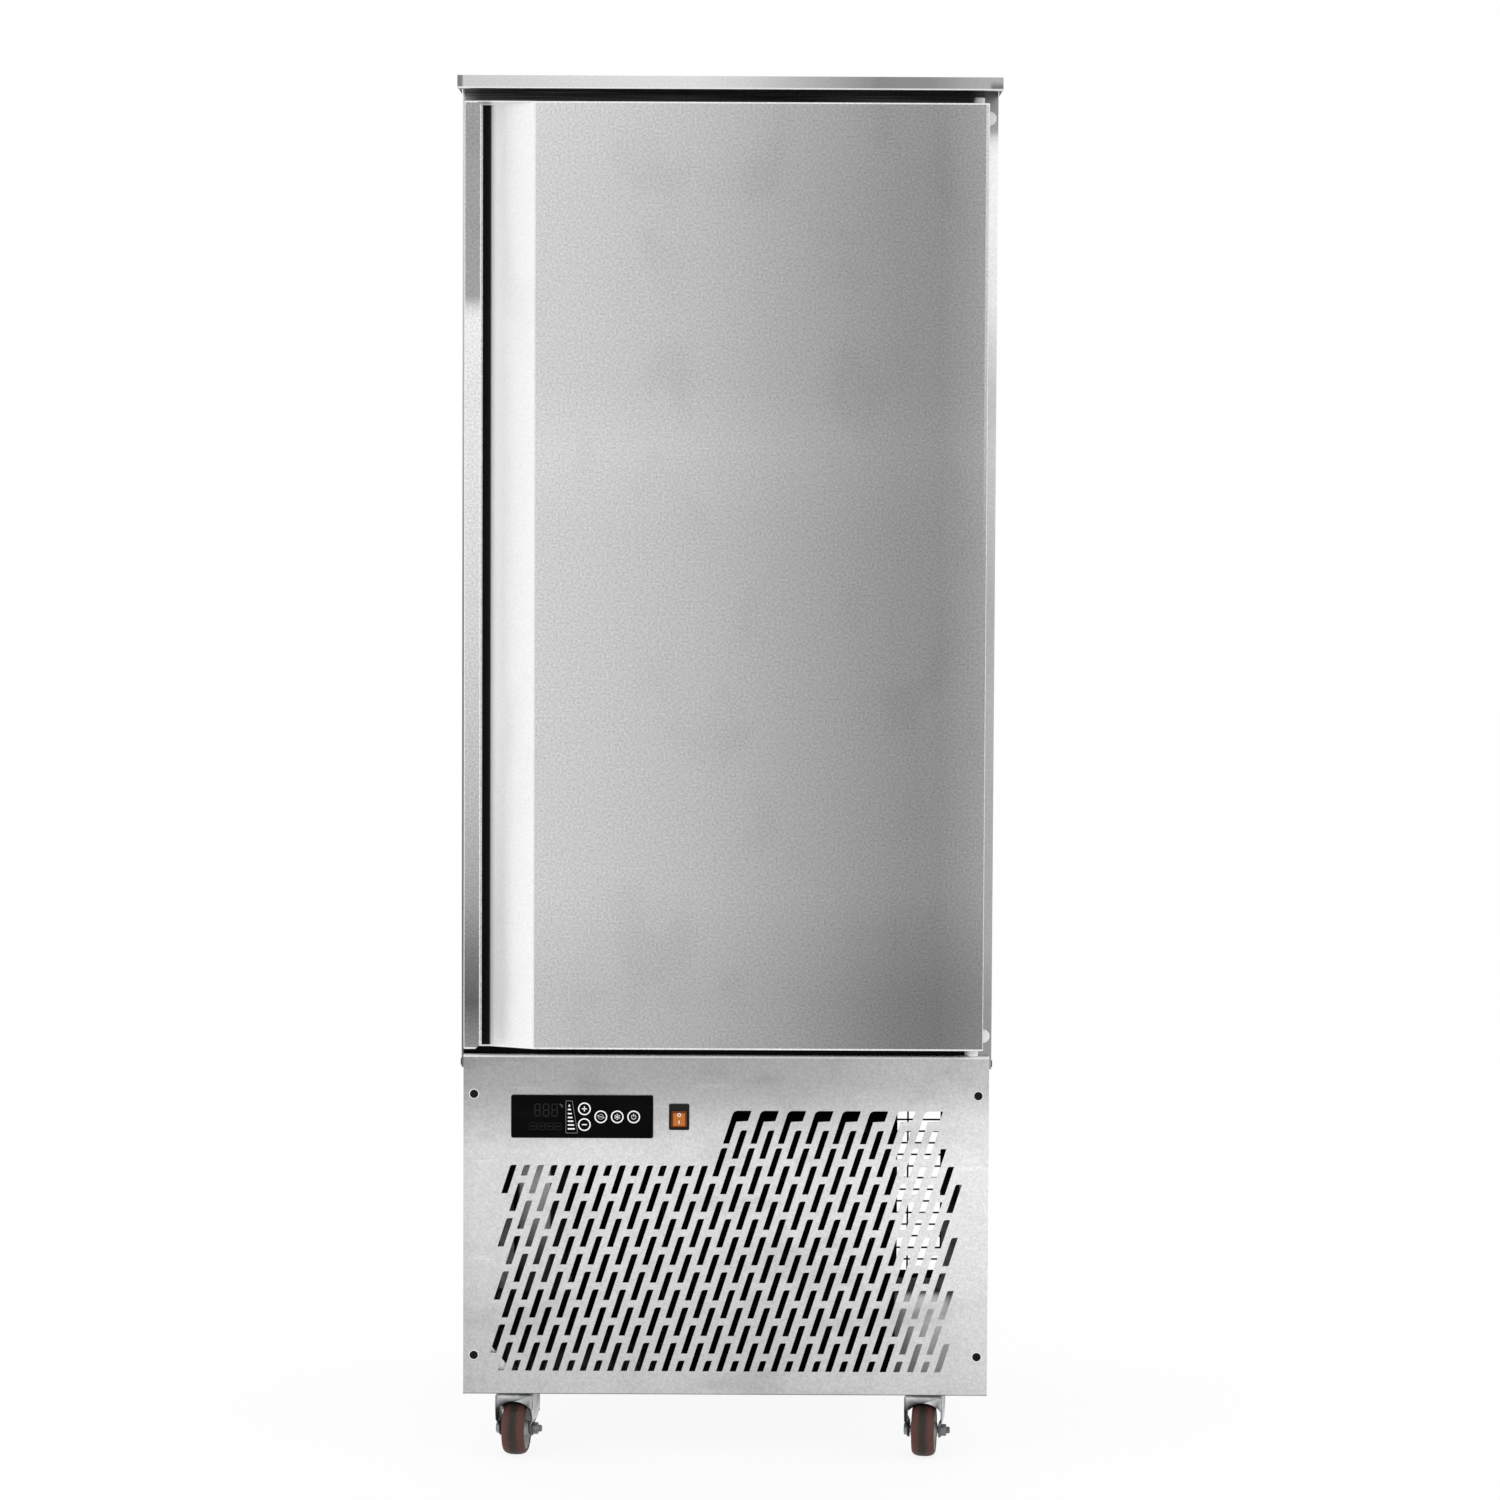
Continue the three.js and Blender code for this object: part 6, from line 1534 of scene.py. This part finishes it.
def motor(node, centre):
    """A ribbed can motor behind its fan's centre, on its bar and legs."""
    low, high = extent(node)
    start = centre.y + MOTOR_BACK
    form = Form()
    form.lathe("y", (centre.x, centre.z), [
        (4, centre.y - HUB_HALF), (4, start), (MOTOR_RADIUS - 6, start),
        (MOTOR_RADIUS - 1.4, start + 2), (MOTOR_RADIUS, start + 6), (MOTOR_RADIUS, start + 36),
        (MOTOR_RADIUS - 1.4, start + 40.5), (MOTOR_RADIUS - 7, start + 43)], 40)
    for k in range(10):
        turn = math.tau * k / 10
        x, z = centre.x + 36.5 * math.cos(turn), centre.z + 36.5 * math.sin(turn)
        form.tube([(x, start + 5, z), (x, start + 38, z)], 3.2, 8)
    bar, z = start + 21.5, (centre.z - 9, centre.z + 9)
    form.box((low.x, high.x), (bar, bar + LEG_SHEET), z)
    for edge, side in ((low.x + 18, -1), (high.x - 18, 1)):
        inner = edge - side * LEG_SHEET
        form.box(sorted((edge, inner)), (low.y, bar + LEG_SHEET), z)
        form.box(sorted((inner, edge + side * 15.5)), (low.y, low.y + LEG_SHEET), z)
    form.piece(f"{node}_can", BLACK_METAL, node)


def compartment_pieces():
    """The machine compartment's frame, covers and working parts."""
    trimmed("base_frame", base_steel().material, 0.3)
    for node in ("left_side_cover", "right_side_cover"):
        trimmed(node, SHEET_STEEL, 0.3)
    trimmed("rear_cover", BLACK_METAL, 0.25)
    top = extent("electrics_box")[1].z * MM
    trimmed("electrics_box", switchgear_steel(top).material, 0.6)
    trimmed("condenser_shroud", BLACK_METAL, 0.4)
    low, high = extent("condenser_coil")
    coil("condenser_coil", BLACK_METAL, 110, 0.35, (low.y + 5, high.y - 5),
         (low.z + 5, high.z - 5), 9)
    fan("condenser_fan", BLACK_METAL, 130)
    trimmed("condenser_fan_motor", BLACK_METAL, 0.8)
    compressor_pot()
    receiver_vessel()
    copper_line()


def compressor_pot():
    """A welded pot with its seam, riser and terminal box, on a foot plate with four buffers."""
    low, high = extent("compressor")
    x, y, base = (low.x + high.x) / 2, (low.y + high.y) / 2, low.z
    shell = Form()
    profile = [(0, .08), (.5, .082), (.7, .09), (.86, .125), (.92, .16), (.94, .2), (.94, .49),
               (.95, .5), (1, .505), (1, .56), (.955, .57), (.94, .59), (.935, .76), (.92, .82),
               (.86, .89), (.75, .94), (.6, .97), (.4, .99), (.2, .998), (0, 1)]
    shell.lathe("z", (x, y), [(r * POT_RADIUS, base + h * POT_HEIGHT) for r, h in profile], 56)
    shell.prism("z", rectangle((low.x, high.x), (y - 77, y + 77), 14, 5), (base, base + 3))
    shell.lathe("z", (x, y), [(POT_RADIUS / 2, base + 1), (POT_RADIUS / 2, base + 24)], 32)
    for dx in (-82, 82):
        for dy in (-62, 62):
            shell.lathe("z", (x + dx, y + dy), [(radius, base + up) for radius, up in (
                (9, 2.8), (9, 9), (6, 11), (6, 14))], 20)
    shell.lathe("z", (x + RISER_X, y), [(12, base + 188), (12, high.z - 5), (10.6, high.z)], 24)
    shell.prism("x", rectangle((y - 34, y + 34), (base + 96, base + 156), 8, 4), (x - 96, x - 84))
    shell.piece("compressor_pot", BLACK_METAL, "compressor", smooth=36)


def receiver_vessel():
    """A lying vessel with domed ends and two weld beads, on two saddles."""
    low, high = extent("liquid_receiver")
    middle, base, r = (low + high) / 2, low.z, VESSEL_RADIUS
    z = base + VESSEL_LIFT + r
    turns = [math.pi / 2 * k / 7 for k in range(8)]
    half = [(r * math.sin(turn), 26 * (1 - math.cos(turn))) for turn in turns]
    half += [(r, 60), (r + 0.8, 61), (r + 0.8, 64), (r, 65)]
    vessel = Form().lathe("x", (middle.y, z), [
        *((radius, low.x + at) for radius, at in half),
        *((radius, high.x - at) for radius, at in reversed(half))], 44)
    for at in (middle.x - SADDLE_X, middle.x + SADDLE_X):
        saddle = [(middle.y - 36, base), (middle.y + 36, base)] + [
            (middle.y + (r + 0.6) * math.cos(a), z + (r + 0.6) * math.sin(a))
            for a in (math.radians(-32 - 116 * k / 12) for k in range(13))]
        vessel.prism("x", saddle, (at - 9, at + 9))
    vessel.piece("receiver_vessel", BLACK_METAL, "liquid_receiver", smooth=36)


def copper_line():
    """The line from the compressor's riser, bent back on its way up into the case."""
    low, high = extent("suction_line")
    pot_low, pot_high = extent("compressor")
    x, y = (pot_low.x + pot_high.x) / 2 + RISER_X, (pot_low.y + pot_high.y) / 2
    path = []
    for k in range(25):
        share = k / 24
        bend = min(max((share - 0.28) / 0.5, 0), 1)
        bend = bend * bend * (3 - 2 * bend)
        path.append((x, y + LINE_SHIFT * bend, low.z + (high.z - low.z) * share))
    Form().tube(path, LINE_RADIUS, 16).piece("copper_line", COPPER, "suction_line", smooth=40)


def outside_fasteners():
    """Screws of the case's hems, the side covers and the rear cover."""
    hem_z = case_low.z + HEM / 2
    fasteners("hem_screws", cross_head("hem_screw", 5.5, 1.45), BLACK_SCREW, "cabinet_shell",
              [((side * case_high.x, y, hem_z), (side, 0, 0))
               for side in (-1, 1) for y in (-315, 380)])
    for node, side in (("left_side_cover", -1), ("right_side_cover", 1)):
        x = side * extent("right_side_cover")[1].x
        fasteners(f"{node}_screws", cross_head(f"{node}_screw", 4.2, 2.2), ZINC, node,
                  [((x, y, z), (side, 0, 0)) for y in (-280, 40, 370) for z in (125, 530)])
    fasteners("rear_cover_screws", cross_head("rear_screw", 4.2, 0.01), ZINC, "rear_cover",
              [((x, case_high.y - 0.6, z), (0, 1, 0))
               for x in (-345, -115, 115, 345) for z in (112, 548)])


# ------------------------------------------------------------------ room, lamps and camera

def room():
    """A pale floor that keeps the shadow, a white world and three soft lamps."""
    floor = link("floor", bpy.data.meshes.new("floor"))
    floor.data.from_pydata([(-30, -30, 0), (30, -30, 0), (30, 30, 0), (-30, 30, 0)], [],
                           [(0, 1, 2, 3)])
    pale = bpy.data.materials.new("pale floor")
    pale.use_nodes = True
    tree = pale.node_tree
    shader = tree.nodes["Principled BSDF"]
    shader.inputs["Base Color"].default_value = (0.98, 0.98, 0.98, 1)
    shader.inputs["Roughness"].default_value = 0.8
    rays = Value(tree, tree.nodes.new("ShaderNodeLightPath").outputs["Is Camera Ray"])
    seen = direct_rays(rays)
    white = rays.add("ShaderNodeEmission", {}, {0: (1, 1, 1, 1), 1: 1.0})
    both = rays.add("ShaderNodeMixShader", {}, {
        0: seen * 0.88, 1: Value(tree, shader.outputs[0]), 2: white})
    tree.links.new(both.socket, tree.nodes["Material Output"].inputs[0])
    floor.data.materials.append(pale)

    world = bpy.data.worlds.new("studio")
    bpy.context.scene.world = world
    world.use_nodes = True
    tree = world.node_tree
    rays = Value(tree, tree.nodes.new("ShaderNodeLightPath").outputs["Is Camera Ray"])
    soft = rays.add("ShaderNodeBackground", {}, {0: (1, 1, 1, 1), 1: 0.98})
    white = rays.add("ShaderNodeBackground", {}, {0: (1, 1, 1, 1), 1: 1.0})
    both = rays.add("ShaderNodeMixShader", {}, {0: direct_rays(rays), 1: soft, 2: white})
    tree.links.new(both.socket, tree.nodes["World Output"].inputs[0])

    for name, place, aim, size, power in (
            ("left softbox", (-3.4, -3.6, 3.0), (0, 0, 1.0), 2.4, 30),
            ("right softbox", (3.6, -2.6, 2.4), (0, 0, 1.0), 2.0, 12),
            ("overhead softbox", (0, 1.2, 4.2), (0, 0, 1.0), 2.6, 16)):
        lamp = bpy.data.lights.new(name, "AREA")
        lamp.size, lamp.energy = size, power
        holder = link(name, lamp)
        holder.visible_glossy = False
        holder.location = place
        holder.rotation_euler = (Vector(aim) - Vector(place)).to_track_quat("-Z", "Y").to_euler()


def direct_rays(camera):
    """1 for camera, glossy and transmission rays, 0 for the others."""
    lights = camera.socket.node
    glossy = Value(camera.tree, lights.outputs["Is Glossy Ray"])
    through = Value(camera.tree, lights.outputs["Is Transmission Ray"])
    return (camera + glossy + through).up_to_one()


PHOTO_WIDTH, FOCAL_LENGTH = 1500, 3796.7  # in pixels of the photograph
EYE, YAW, PITCH, ROLL = (0.0272, -5.6, 1.240), 0.0007, 0.0464, 0.0047


def camera():
    """The camera that was fitted to the photographed edges."""
    data = bpy.data.cameras.new("camera")
    data.sensor_width = 36
    data.lens = data.sensor_width * FOCAL_LENGTH / PHOTO_WIDTH
    forward = Vector((math.sin(YAW) * math.cos(PITCH), math.cos(YAW) * math.cos(PITCH),
                      -math.sin(PITCH)))
    right = Vector((math.cos(YAW), -math.sin(YAW), 0))
    up = right.cross(forward)
    side = math.cos(ROLL) * right + math.sin(ROLL) * up
    top = math.cos(ROLL) * up - math.sin(ROLL) * right
    matrix = Matrix((side, top, -forward)).transposed().to_4x4()
    matrix.translation = EYE
    holder = link("camera", data)
    holder.matrix_world = matrix
    bpy.context.scene.camera = holder


camera()
room()
door_pieces()
case_pieces()
panel_pieces()
controller_pieces()
switch_pieces()
for corner in ("front_left", "front_right", "rear_left", "rear_right"):
    caster_pieces(corner)
inner_pieces()
compartment_pieces()
outside_fasteners()

bpy.context.scene.view_settings.view_transform = "Standard"
